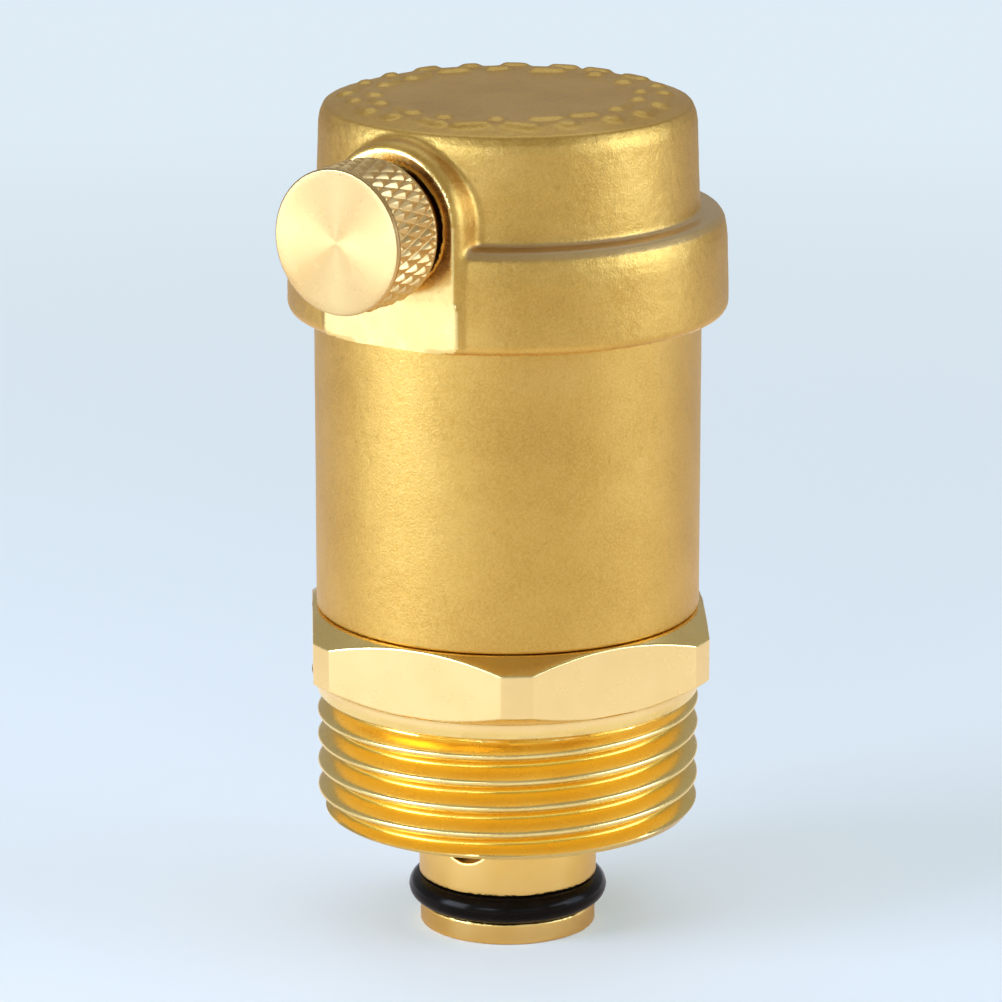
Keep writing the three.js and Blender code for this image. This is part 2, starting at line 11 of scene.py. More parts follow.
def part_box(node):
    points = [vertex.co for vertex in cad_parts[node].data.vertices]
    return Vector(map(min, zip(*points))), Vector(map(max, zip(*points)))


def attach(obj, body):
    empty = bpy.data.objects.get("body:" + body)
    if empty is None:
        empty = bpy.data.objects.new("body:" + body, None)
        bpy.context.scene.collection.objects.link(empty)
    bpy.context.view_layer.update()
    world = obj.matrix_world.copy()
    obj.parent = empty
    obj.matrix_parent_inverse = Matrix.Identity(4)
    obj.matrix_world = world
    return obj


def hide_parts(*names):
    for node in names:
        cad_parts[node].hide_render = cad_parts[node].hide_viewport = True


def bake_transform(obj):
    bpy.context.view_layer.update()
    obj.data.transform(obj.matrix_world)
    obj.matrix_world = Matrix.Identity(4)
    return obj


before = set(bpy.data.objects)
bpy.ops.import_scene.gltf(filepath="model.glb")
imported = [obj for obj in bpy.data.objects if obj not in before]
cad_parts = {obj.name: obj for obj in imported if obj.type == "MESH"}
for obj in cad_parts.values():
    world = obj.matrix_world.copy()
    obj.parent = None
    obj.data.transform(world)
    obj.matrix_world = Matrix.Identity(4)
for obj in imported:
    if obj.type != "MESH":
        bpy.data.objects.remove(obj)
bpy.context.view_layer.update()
TAU = 2 * math.pi
DEG = math.pi / 180

# ------------------------------------------------------------ driving dimensions
base_low, base_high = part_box("valve_base")
cap_low, cap_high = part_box("cap")
knob_low, knob_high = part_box("vent_cap")
pin_low, pin_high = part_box("pivot_pin")
SEAM = base_high.z * 1000                       # height of the joint face in the scene
CAP_TOP = cap_high.z * 1000 - SEAM
CAP_LOW = cap_low.z * 1000 - SEAM
LUG_FACE = -cap_low.y * 1000                    # distance of the lug's face along -Y
BODY_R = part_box("float_chamber")[1].x * 1000
BASE_END = base_low.z * 1000 - SEAM
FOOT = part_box("shutoff_plunger")[0].z * 1000 - SEAM
KNOB_FACE = -knob_low.y * 1000                  # the knurled cap's two ends along -Y
KNOB_REAR = -knob_high.y * 1000
AXIS_Z = (knob_low.z + knob_high.z) * 500 - SEAM    # height of the outlet axis
PIVOT_Y = (pin_low.y + pin_high.y) * 500
PIVOT_Z = (pin_low.z + pin_high.z) * 500 - SEAM
DROOP = 18.43 * DEG                             # fall of the lever towards +Y
LEDGE = 35.0                                    # height of the cap's ledge

# Base: hexagon and outside thread
HEX_FLATS = 34.0
HEX_CORNER = 18.9                               # radius to which the corners are turned
HEX_LOW = -6.0
HEX_TURN = 5.3 * DEG + math.pi / 6              # direction of the centre of one flat
FACE_R = 16.9                                   # flat top face inside the chamfer
BASE_CREST, BASE_ROOT, BASE_PITCH = 16.62, 15.15, 2.309
BASE_THREAD_TOP = -7.3
CREST_ANGLE, CREST_Z = -57 * DEG, -9.0          # a place where the crest passes

pieces = []                                     # (object, slot) of everything built


# ------------------------------------------------------------------ mesh helpers
def build(name, verts, quads, body, node, slot, angle=40):
    """Makes an object facing outwards; a triangle is a quad that repeats its last corner."""
    verts = np.array(verts, float) + np.array([0, 0, SEAM])
    a, b, c, d = quads.T
    triangle = c == d
    volume = 0.0
    for i, j, k in ((a, b, c), (a, c, d)):
        volume += np.einsum("ij,ij->", verts[i], np.cross(verts[j], verts[k]))
    if volume < 0:
        quads = np.where(triangle[:, None], np.column_stack([a, c, b, b]),
                         np.column_stack([a, d, c, b]))
    sizes = np.where(triangle, 3, 4)
    loops = quads[np.arange(4) < sizes[:, None]]
    starts = np.concatenate([[0], np.cumsum(sizes)[:-1]])
    mesh = bpy.data.meshes.new(name)
    mesh.vertices.add(len(verts))
    mesh.vertices.foreach_set("co", (verts * 0.001).astype(np.float32).ravel())
    mesh.loops.add(len(loops))
    mesh.loops.foreach_set("vertex_index", loops.astype(np.int32))
    mesh.polygons.add(len(quads))
    mesh.polygons.foreach_set("loop_start", starts.astype(np.int32))
    mesh.polygons.foreach_set("loop_total", sizes.astype(np.int32))
    mesh.polygons.foreach_set("use_smooth", np.ones(len(quads), bool))
    mesh.update(calc_edges=True)
    mesh.validate()
    if angle:
        mesh.set_sharp_from_angle(angle=angle * DEG)
    ob = bpy.data.objects.new(name, mesh)
    bpy.context.scene.collection.objects.link(ob)
    if body:
        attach(ob, body)
    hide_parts(node)
    pieces.append((ob, slot))
    return ob


def weld(grid):
    """Skins a (rows, columns, 3) grid with quads and merges the points that coincide."""
    rows, cols = grid.shape[:2]
    corner = (np.arange(rows - 1)[:, None] * cols + np.arange(cols - 1)).ravel()
    quads = np.column_stack([corner, corner + 1, corner + cols + 1, corner + cols])
    points = grid.reshape(-1, 3)
    key = np.round(points / 1e-4).astype(np.int64)
    _, first, merged = np.unique(key, axis=0, return_index=True, return_inverse=True)
    a, b, c, d = merged.ravel()[quads].T
    same = [a == b, b == c, c == d, d == a]
    repeats = np.sum(same, axis=0)
    valid = (a != c) & (b != d)
    kept = [np.column_stack([a, b, c, d])[valid & (repeats == 0)]]
    # one merged side leaves a triangle, written with its last corner repeated
    for match, corners in zip(same, ((b, c, d, d), (a, c, d, d), (a, b, c, c), (a, b, c, c))):
        kept.append(np.column_stack(corners)[valid & (repeats == 1) & match])
    return points[first], np.vstack(kept)


def rounded(points, steps=4, closed=False):
    """Polyline through (x, y[, fillet]) points, with arcs of the fillet radius at the corners."""
    points = [tuple(p) + (0.0,) * (3 - len(p)) for p in points]
    out = []
    count = len(points)
    for i, (x, y, fillet) in enumerate(points):
        corner = np.array([x, y])
        if fillet <= 0 or (not closed and i in (0, count - 1)):
            out.append(corner)
            continue
        back = np.array(points[i - 1][:2]) - corner
        ahead = np.array(points[(i + 1) % count][:2]) - corner
        back_length, ahead_length = np.linalg.norm(back), np.linalg.norm(ahead)
        back, ahead = back / back_length, ahead / ahead_length
        half = math.acos(np.clip(back @ ahead, -1, 1)) / 2
        if half > math.pi / 2 - 0.02:
            out.append(corner)
            continue
        cut = min(fillet / math.tan(half), 0.48 * back_length, 0.48 * ahead_length)
        radius = cut * math.tan(half)
        bisector = (back + ahead) / np.linalg.norm(back + ahead)
        centre = corner + bisector * (radius / math.sin(half))
        start, end = corner + back * cut - centre, corner + ahead * cut - centre
        for t in np.linspace(0, 1, steps + 1):
            spoke = start * (1 - t) + end * t
            spoke = spoke / np.linalg.norm(spoke) * radius
            out.append(centre + spoke)
    return np.array(out)


def full_turn(count):
    return np.linspace(0, TAU, count + 1)


class Rings:
    """Rings of points about Z, one point for each angle, ready to be welded into a skin."""

    def __init__(self, angles):
        self.angles = angles
        self.rows = []

    def add(self, radius, z):
        """radius and z are single values or one value for each angle"""
        self.rows.append(np.stack([radius * np.cos(self.angles), radius * np.sin(self.angles),
                                   z + 0 * self.angles], -1))

    def profile(self, points, steps=4, closed=False):
        for radius, z in rounded(points, steps, closed):
            self.add(radius, z)
        if closed:
            self.rows.append(self.rows[0])

    def grid(self):
        return np.array(self.rows)


def along_outlet(points):
    """Lays points made about Z along -Y, about the outlet axis."""
    return np.stack([points[..., 0], -points[..., 2], points[..., 1] + AXIS_Z], -1)


def turned(name, points, body, node, slot, count=192, steps=4, closed=False, outlet=False):
    """Turns a (radius, height[, fillet]) profile."""
    rings = Rings(full_turn(count))
    rings.profile(points, steps, closed)
    verts, quads = weld(rings.grid())
    return build(name, along_outlet(verts) if outlet else verts, quads, body, node, slot)


def vertex_normals(verts, quads):
    normals = np.zeros_like(verts)
    a, b, c, d = (verts[quads[:, k]] for k in range(4))
    face = np.cross(b - a, c - a) + np.cross(c - a, d - a)
    for k in range(4):
        np.add.at(normals, quads[:, k], face)
    return normals / np.maximum(np.linalg.norm(normals, axis=1, keepdims=True), 1e-12)


def cast_noise(verts, amount, scales, seed):
    """Smooth random heights in mm; scales holds (feature size, weight) pairs."""
    out = np.zeros(len(verts))
    for size, weight in scales:
        places = verts / size + seed + size
        out += weight * np.array([noise.noise(p) for p in places.tolist()])
    return out * amount


# ------------------------------------------------------ signed-distance modelling
def surface(field, low, high, step):
    """Meshes the zero level of field(x, y, z) in the box low-high by surface nets."""
    low, high = np.array(low, float) - 2 * step, np.array(high, float) + 2 * step
    count = np.ceil((high - low) / step).astype(int) + 1
    axes = [low[i] + step * np.arange(count[i]) for i in range(3)]
    values = np.empty(tuple(count), np.float32)
    for start in range(0, count[0], 16):        # in slabs, to keep memory small
        slab = slice(start, start + 16)
        values[slab] = field(*np.meshgrid(axes[0][slab], axes[1], axes[2], indexing="ij"))
    inside = values < 0
    filled = np.zeros(tuple(count - 1), np.int8)
    corners = [(i, j, k) for i in (0, 1) for j in (0, 1) for k in (0, 1)]
    for i, j, k in corners:
        filled += inside[i:count[0] - 1 + i, j:count[1] - 1 + j, k:count[2] - 1 + k]
    mixed = (filled > 0) & (filled < 8)
    cells = np.argwhere(mixed)
    index = np.full(tuple(count - 1), -1, np.int64)
    index[mixed] = np.arange(len(cells))

    # a vertex in each mixed cell, at the mean of the crossings on its edges
    total = np.zeros((len(cells), 3))
    crossings = np.zeros(len(cells))
    for near in corners:
        for axis in range(3):
            if near[axis]:
                continue
            far = list(near)
            far[axis] = 1
            near_value = values[tuple((cells + np.array(near)).T)].astype(float)
            far_value = values[tuple((cells + np.array(far)).T)].astype(float)
            crossed = (near_value < 0) != (far_value < 0)
            point = np.array(near, float) + 0 * total
            point[:, axis] += near_value / np.where(crossed, near_value - far_value, 1)
            total[crossed] += point[crossed]
            crossings[crossed] += 1
    verts = low + (cells + total / crossings[:, None]) * step

    # a quad round each grid edge that crosses the surface
    quads = []
    for axis in range(3):
        side, other = [(1, 2), (2, 0), (0, 1)][axis]
        lower, upper = [slice(1, -1)] * 3, [slice(1, -1)] * 3
        lower[axis], upper[axis] = slice(0, -1), slice(1, None)
        lower_in, upper_in = inside[tuple(lower)], inside[tuple(upper)]
        edges = np.argwhere(lower_in != upper_in)
        flip = upper_in[tuple(edges.T)]
        first = edges + 1
        first[:, axis] -= 1
        quad = []
        for i, j in ((-1, -1), (0, -1), (0, 0), (-1, 0)):
            cell = first.copy()
            cell[:, side] += i
            cell[:, other] += j
            quad.append(index[tuple(cell.T)])
        quad = np.column_stack(quad)
        quad[flip] = quad[flip][:, ::-1]
        quads.append(quad)

    reach = 0.02
    for _ in range(4):                          # settle the vertices on the true surface
        distance = field(verts[:, 0], verts[:, 1], verts[:, 2])
        slope = np.empty_like(verts)
        for k in range(3):
            shift = np.zeros(3)
            shift[k] = reach
            slope[:, k] = (field(*(verts + shift).T) - field(*(verts - shift).T)) / (2 * reach)
        move = -distance[:, None] * slope / np.maximum((slope * slope).sum(1), 0.25)[:, None]
        length = np.linalg.norm(move, axis=1, keepdims=True)
        verts = verts + move * np.minimum(1, 0.35 * step / np.maximum(length, 1e-9))
    return verts, np.vstack(quads)


def box_field(x, y, z, centre, half, fillet):
    a, b, c = [np.abs(p - centre[i]) - half[i] + fillet for i, p in enumerate((x, y, z))]
    outside = np.sqrt(sum(np.maximum(k, 0) ** 2 for k in (a, b, c)))
    return outside + np.minimum(np.maximum(np.maximum(a, b), c), 0) - fillet


def rod_field(radial, axial, fillet):
    """Cylinder from (distance to axis - radius) and (distance to middle - half length)."""
    a, b = radial + fillet, axial + fillet
    outside = np.sqrt(np.maximum(a, 0) ** 2 + np.maximum(b, 0) ** 2)
    return outside + np.minimum(np.maximum(a, b), 0) - fillet


def outline_field(x, y, outline):
    """Distance to a closed outline of (x, y) points, negative inside."""
    points = np.array(outline, float)
    square = np.full(np.shape(x), 1e9)
    sign = np.ones(np.shape(x))
    for i, point in enumerate(points):
        last = points[i - 1]
        edge_x, edge_y = last - point
        off_x, off_y = x - point[0], y - point[1]
        t = np.clip((off_x * edge_x + off_y * edge_y) / (edge_x * edge_x + edge_y * edge_y), 0, 1)
        gap_x, gap_y = off_x - edge_x * t, off_y - edge_y * t
        square = np.minimum(square, gap_x * gap_x + gap_y * gap_y)
        above, below, left = y >= point[1], y < last[1], edge_x * off_y > edge_y * off_x
        sign = np.where((above & below & left) | (~above & ~below & ~left), -sign, sign)
    return sign * np.sqrt(square)


def soft_min(a, b, blend):
    overlap = np.maximum(blend - np.abs(a - b), 0) / blend
    return np.minimum(a, b) - overlap * overlap * blend * 0.25


def soft_max(a, b, blend):
    return -soft_min(-a, -b, blend)


def smooth_step(t):
    t = np.clip(t, 0, 1)
    return t * t * (3 - 2 * t)


def build_field(name, field, low, high, step, body, node, slot="spring_steel", angle=45,
                place=None):
    verts, quads = surface(field, low, high, step)
    return build(name, place(verts) if place else verts, quads, body, node, slot, angle)


# ----------------------------------------------------------------------- threads
def thread_form(crest, root, pitch, phase):
    """Radius at a phase (0 = crest centre) of a 55 degree form with rounded crest and root."""
    z = np.abs((phase + 0.5) % 1.0 - 0.5) * pitch
    slope = math.tan(27.5 * DEG)
    flat = (pitch / 2 - (crest - root) * slope) / 2
    return soft_max(soft_min(crest - (z - flat) / slope, crest, 0.3), root, 0.35)


def thread_rings(turns, crest, root, pitch, low, high, steps, slack, start=0.0):
    """(radius, z) of helical rings cut off at low and high; turns is each column's rise in
    pitches, steps the number of rings to a pitch and slack how far beyond the ends they run."""
    rings = []
    first = math.floor((low - start) / pitch) - 2
    last = math.ceil((high - start) / pitch) + 2
    for turn in range(first, last + 1):
        for k in range(steps):
            z = start + pitch * (turn + k / steps + turns)
            if z.min() <= high + slack and z.max() >= low - slack:
                z = np.clip(z, low, high)
                rings.append((thread_form(crest, root, pitch, (z - start) / pitch - turns), z))
    return rings


# -------------------------------------------------------------------- valve base
# (radius, z) rings of the top face up to the chamfer, and of the collar under the hexagon
BASE_FACE = [(13.9, 0), (14.6, 0), (15.4, 0), (16.2, 0), (FACE_R - 0.12, 0),
             (FACE_R + 0.03, -0.025), (FACE_R + 0.12, -0.075)]
BASE_COLLAR = [(17.08, -5.96), (17.0, -6.0), (16.86, -6.04), (16.8, -6.12), (16.8, -6.4),
               (16.77, -6.7), (16.70, -7.0), (BASE_CREST, BASE_THREAD_TOP)]
# (inset, drop) of the rings that round the hexagon's edges
HEX_EDGE = [(0.13, 0.0), (0.05, 0.015), (0.0, 0.07), (0.0, 0.16)]
# (radius, z, fillet) from the threaded end up through the bore to the top face
BASE_BORE = [(14.6, BASE_END), (10.0, BASE_END), (9.05, BASE_END, 0.12),
             (8.05, BASE_END + 1.0, 0.15), (8.05, -15.35), (8.2, -15.2, 0.05), (9.7, -15.2, 0.1),
             (9.7, -9.5), (9.7, -9.4, 0.05), (10.55, -9.4, 0.1), (10.55, -2.3),
             (10.75, -2.15, 0.05), (12.7, -2.15, 0.1), (12.7, -0.4), (13.1, 0, 0.08), (13.9, 0)]


def base_angles():
    """Even angles, with more of them close to the hexagon's corners."""
    edge = math.acos(HEX_FLATS / 2 / HEX_CORNER)
    extra = [(HEX_TURN + k * math.pi / 3 + side * edge + offset * DEG) % TAU
             for k in range(6) for side in (-1, 1) for offset in (-0.5, -0.18, 0.0, 0.18, 0.5)]
    angles = np.unique(np.round(np.concatenate([full_turn(540), extra]), 6))
    angles = angles[np.concatenate([[True], np.diff(angles) > 1e-4])]
    angles[-1] = TAU
    return angles


def make_base():
    tan30 = math.tan(30 * DEG)
    angles = base_angles()
    off_flat = (angles - HEX_TURN + math.pi / 6) % (math.pi / 3) - math.pi / 6
    hexagon = soft_min(HEX_FLATS / 2 / np.cos(off_flat), HEX_CORNER, 0.05)
    rim = hexagon - FACE_R - 0.1
    top = -(hexagon - FACE_R) * tan30
    bottom = HEX_LOW + rim * tan30
    rings = Rings(angles)
    for radius, z in BASE_FACE:
        rings.add(radius, z)
    rings.add(FACE_R + (hexagon - FACE_R) * 0.5, top * 0.5)
    for inset, drop in HEX_EDGE:
        rings.add(hexagon - inset, top + inset * tan30 - drop)
    for t in (0.25, 0.5, 0.75):
        rings.add(hexagon, top - 0.16 + (bottom + 0.16 - top + 0.16) * t)
    for inset, drop in reversed(HEX_EDGE):
        rings.add(hexagon - inset, bottom - inset * tan30 + drop)
    rings.add((FACE_R + 0.1) + rim * 0.5, HEX_LOW + rim * 0.5 * tan30)
    for radius, z in BASE_COLLAR:
        rings.add(radius, z)
    thread = thread_rings((angles - CREST_ANGLE) / TAU, BASE_CREST, BASE_ROOT, BASE_PITCH,
                          BASE_END, BASE_THREAD_TOP, steps=22, slack=0.3, start=CREST_Z)
    for radius, z in reversed(thread):
        # the groove runs out into the collar; a chamfer leads in at the end
        radius = radius + (BASE_CREST - radius) * smooth_step((z + 8.1) / 0.8)
        radius = soft_min(radius, 15.98 + (z - BASE_END) * 0.78, 0.12)
        rings.add(radius, z)
    rings.add(radius - 0.12, BASE_END)          # inside the last ring, on the end face
    rings.profile(BASE_BORE, steps=3)
    return build("valve_base_body", *weld(rings.grid()), "base", "valve_base", "turned_brass",
                 angle=38)


base = make_base()

# ----------------------------------------------------------------- float chamber
BODY_TOP = CAP_LOW - 0.15
NIPPLE_CREST, NIPPLE_ROOT, NIPPLE_PITCH = 10.25, 9.1, 1.814
NIPPLE_LOW, NIPPLE_HIGH = -8.95, -1.2           # ends of the nipple's thread
# (radius, z, fillet): bore and end of the nipple; shoulder and floor; top, then inside to the bore
NIPPLE_END = [(7.5, 2.4), (7.5, -9.15, 0.3), (9.5, -9.15, 0.1), (9.7, NIPPLE_LOW)]
BODY_FLOOR = [(NIPPLE_ROOT, NIPPLE_HIGH), (NIPPLE_ROOT, -0.6), (10.25, -0.6, 0.1),
              (10.25, 0.06, 0.05), (BODY_R, 0.06, 0.28), (BODY_R, 1.2)]
BODY_INSIDE = [(BODY_R, BODY_TOP - 0.45), (BODY_R, BODY_TOP, 0.18), (16.0, BODY_TOP, 0.1),
               (15.6, BODY_TOP + 0.6, 0.1), (15.6, BODY_TOP + 1.0, 0.1),
               (16.2, BODY_TOP + 1.5, 0.1), (16.2, 31.3), (15.9, 31.8, 0.1), (14.3, 31.8, 0.2),
               (14.2, 31.0), (14.2, 3.9, 0.6), (13.4, 3.0, 0.3), (8.2, 3.0, 0.3), (7.5, 2.4)]


def make_body():
    rings = Rings(full_turn(540))
    rings.profile(NIPPLE_END, steps=3)
    for radius, z in thread_rings(rings.angles / TAU, NIPPLE_CREST, NIPPLE_ROOT, NIPPLE_PITCH,
                                  NIPPLE_LOW, NIPPLE_HIGH, steps=14, slack=0.2):
        radius = NIPPLE_ROOT + (radius - NIPPLE_ROOT) * (1 - smooth_step((z + 2.6) / 0.8))
        rings.add(soft_min(radius, 9.7 + (z - NIPPLE_LOW) * 0.9, 0.1), z)
    rings.profile(BODY_FLOOR, steps=5)
    for z in np.arange(1.5, BODY_TOP - 0.5, 0.26):
        rings.add(BODY_R, z)
    rings.profile(BODY_INSIDE)
    verts, quads = weld(rings.grid())
    radius, z = np.hypot(verts[:, 0], verts[:, 1]), verts[:, 2]
    wall = np.where((radius > BODY_R - 0.02) & (z > 0.5) & (z < BODY_TOP - 0.3))[0]
    bump = cast_noise(verts[wall], amount=0.010, scales=((0.9, 0.5), (2.2, 0.8), (6.0, 1.0)),
                      seed=3.1)
    verts[wall, :2] *= (1 + bump / radius[wall])[:, None]
    return build("vent_body", verts, quads, "vent_head", "float_chamber", "blasted_brass")


body = make_body()

# --------------------------------------------------------------------------- cap
# (radius, z, fillet) from the centre of the top, over the ledge and down the skirt
CAP_PROFILE = [
    (0, CAP_TOP), (13.3, CAP_TOP, 4.0), (15.68, CAP_TOP - 0.66, 0.45),
    (15.99, CAP_TOP - 1.38, 0.7), (16.12, CAP_TOP - 2.1, 1.0), (16.42, LEDGE + 0.08, 0.50),
    (18.02, LEDGE + 0.02, 0.6), (18.50, LEDGE - 0.66, 0.6), (18.69, LEDGE - 1.6, 0.9),
    (18.78, LEDGE - 2.5, 1.0), (18.88, 28.0), (18.88, CAP_LOW, 1.25), (16.85, CAP_LOW, 0.1),
    (0, CAP_LOW)]
LUG_HALF = 6.8                                  # half width of the lug and radius of its arch
SCREW_Y = -4                                    # place of the bracket screw


def profile_field(outline, radius_max, z_low, z_high, step=0.04):
    """Tabulates the distance to a closed (radius, z) outline; returns its bilinear reader."""
    radii, heights = np.arange(0, radius_max, step), np.arange(z_low, z_high, step)
    table = outline_field(*np.meshgrid(radii, heights, indexing="ij"), outline)

    def look(radius, z):
        u = np.clip(radius / step, 0, len(radii) - 1.001)
        v = np.clip((z - z_low) / step, 0, len(heights) - 1.001)
        i, j = u.astype(int), v.astype(int)
        a, b = u - i, v - j
        return ((table[i, j] * (1 - a) + table[i + 1, j] * a) * (1 - b)
                + (table[i, j + 1] * (1 - a) + table[i + 1, j + 1] * a) * b)
    return look


def mark_table():
    """Dashes and dots of uneven size in two rings, as (x0, y0, x1, y1, radius)."""
    rng = np.random.RandomState(23)
    out = []
    for ring, count, spread in ((13.45, 21, 0.22), (11.35, 17, 0.25)):
        for k in range(count):
            angle = TAU * (k + rng.uniform(-0.12, 0.12)) / count
            radius = ring + rng.uniform(-spread, spread)
            turn = math.pi / 2 + rng.uniform(-0.35, 0.35)
            half = rng.uniform(0.45, 1.15) if rng.rand() < 0.72 else 0.06
            outward = np.array([math.cos(angle), math.sin(angle)])
            sideways = np.array([-math.sin(angle), math.cos(angle)])
            dash = half * (math.cos(turn) * outward + math.sin(turn) * sideways)
            out.append((*(radius * outward - dash), *(radius * outward + dash),
                        rng.uniform(0.45, 0.72)))
    return out


cap_profile_field = profile_field(rounded(CAP_PROFILE, 7), 21.5, 24.5, 47.5)
MARKS = mark_table()


def raised_marks(x, y, z, radius):
    """Low rounded pads standing on the cap's top."""
    out = np.full(x.shape, 5.0)
    near = (z > CAP_TOP - 1.2) & (radius > 8.5) & (radius < 15.6)
    x, y, z = x[near], y[near], z[near]
    if not len(x):
        return out
    flat = np.full(x.shape, 9.0)
    for x0, y0, x1, y1, width in MARKS:
        dx, dy = x1 - x0, y1 - y0
        t = np.clip(((x - x0) * dx + (y - y0) * dy) / max(dx * dx + dy * dy, 1e-9), 0, 1)
        flat = soft_min(flat, np.hypot(x - x0 - dx * t, y - y0 - dy * t) - width, 0.18)
    # the pads follow the fall of the top towards its rim
    lift = CAP_TOP - 0.05 * np.clip(radius[near] - 12.0, 0, 3) ** 2
    out[near] = soft_max(flat, np.abs(z - lift) - 0.27, 0.45)
    return out


def cap_field(x, y, z):
    radius = np.hypot(x, y)
    shape = cap_profile_field(radius, z)
    # arch-shaped lug with parallel sides, rounded only along the rim of its face
    arch_z = AXIS_Z + 0.2
    lug = np.where(z > arch_z, np.hypot(x, z - arch_z) - LUG_HALF, np.abs(x) - LUG_HALF)
    lug = soft_max(lug, CAP_LOW + 0.25 - z, 0.6)
    front = -(LUG_FACE + 0.55 - 0.40 * smooth_step((z - 30.1) / 0.8)) - y
    lug = soft_max(soft_max(lug, front, 1.35), y + 9.0, 0.3)
    shape = soft_min(shape, lug, 0.55)
    shape = soft_min(shape, raised_marks(x, y, z, radius), 0.55)
    shape = np.maximum(shape, -LUG_FACE - y)    # machined lug face
    shape = np.maximum(shape, CAP_LOW - z)      # faced lower end
    hollow = np.minimum(soft_max(radius - 16.45, z - 32.9, 0.3),
                        soft_max(radius - 13.2, z - 42.0, 1.2))
    shape = soft_max(shape, -hollow, 0.15)
    outlet = np.hypot(x, z - AXIS_Z)
    bore = np.minimum(np.maximum(outlet - 2.8, y + 10), np.maximum(outlet - 5.25, y + 16.6))
    shape = soft_max(shape, -bore, 0.1)
    screw = np.maximum(np.hypot(x, y - SCREW_Y) - 1.1, np.abs(z - 42.0) - 2.0)
    return np.maximum(shape, -screw)


def make_cap():
    verts, quads = surface(cap_field, (-18.95, -LUG_FACE, CAP_LOW), (18.95, 18.95, CAP_TOP + 0.4),
                           0.20)
    normals = vertex_normals(verts, quads)
    radius, z = np.hypot(verts[:, 0], verts[:, 1]), verts[:, 2]
    machined = ((verts[:, 1] < -LUG_FACE + 0.03) | ((radius < 16.5) & (z < 33.0))
                | ((radius < 13.3) & (z < 42.05)) | (z < CAP_LOW + 0.03))
    rough = np.where(~machined)[0]
    bump = cast_noise(verts[rough], amount=0.020, scales=((0.5, 0.7), (1.1, 0.8), (3.5, 1.2)),
                      seed=8.4)
    verts[rough] += normals[rough] * bump[:, None]
    return build("cap_forging", verts, quads, "vent_head", "cap", "blasted_brass", angle=50)


cap = make_cap()

# ----------------------------------------------------------------------- plunger
STEM_TOP = -9.25


def plunger_field(x, y, z):
    radius = np.hypot(x, y)
    stem = rod_field(radius - 7.78, np.abs(z - (FOOT + STEM_TOP) / 2) - (STEM_TOP - FOOT) / 2,
                     0.25)
    head = rod_field(radius - 9.1, np.abs(z + 9.75) - 0.5, 0.12)
    foot = np.where(z < -26, radius - 7.68, -9)
    shape = np.maximum(np.minimum(stem, head), foot)
    groove = np.maximum(6.15 - radius, np.abs(z + 25.825) - 1.325)
    shape = soft_max(shape, -groove, 0.12)
    bore = soft_max(radius - 5.6, -(z + 23.0), 0.6)
    shape = soft_max(shape, -bore, 0.15)
    # two cross holes
    cos, sin = math.cos(4 * DEG), math.sin(4 * DEG)
    for across in (x * cos + y * sin, -x * sin + y * cos):
        shape = soft_max(shape, -(np.hypot(across, z + 19.2) - 2.5), 0.22)
    return shape


plunger = build_field("plunger_stem", plunger_field, (-9.1, -9.1, FOOT), (9.1, 9.1, -9.2),
                      0.16, "plunger", "shutoff_plunger", "turned_brass", 50)


# ----------------------------------------------------------------- sealing rings
def seal_ring(name, radius, thickness, z, body, node, count=240, sides=40, flash=0.02,
              outlet=False):
    """O-ring of section radius thickness, with the fine parting line of its mould."""
    rings = Rings(full_turn(count))
    around_section = full_turn(sides)
    past = around_section % math.pi
    section = (thickness + flash * np.exp(-(past / 0.06) ** 2)
               + flash * np.exp(-((math.pi - past) / 0.06) ** 2))
    for ring_radius, ring_z in zip(radius + section * np.cos(around_section),
                                   z + section * np.sin(around_section)):
        rings.add(ring_radius, ring_z)
    verts, quads = weld(rings.grid())
    build(name, along_outlet(verts) if outlet else verts, quads, body, node, "rubber_seal",
          angle=0)


seal_ring("plunger_ring", 7.47, 1.2, -25.82, "plunger", "plunger_o_ring")
seal_ring("head_ring", 11.5, 0.9, -1.1, "head_carrier", "head_seal", sides=28)
seal_ring("nozzle_ring", 4.0, 0.45, 17.08, "vent_head", "nozzle_seal", count=120, sides=20,
          flash=0.01, outlet=True)

# ------------------------------------------- knurled cap, z measured along -Y here
KNOB_R = 6.24
KNURLS, KNURL_PITCH, KNURL_DEPTH = 34, 3.0, 0.34
# (radius, z, fillet) of the rear with its recess, and of the rim and face
KNOB_BACK = [(0, 24.45), (4.05, 24.45, 0.2), (4.05, KNOB_REAR + 0.6, 0.05), (4.5, KNOB_REAR, 0.1),
             (5.95, KNOB_REAR, 0.1), (6.05, KNOB_REAR + 0.15)]
KNOB_FRONT = [(6.04, KNOB_FACE - 0.50), (6.12, KNOB_FACE - 0.42, 0.05),
              (6.12, KNOB_FACE - 0.12, 0.05), (5.98, KNOB_FACE, 0.08), (5.4, KNOB_FACE),
              (4.0, KNOB_FACE), (2.0, KNOB_FACE), (0, KNOB_FACE)]


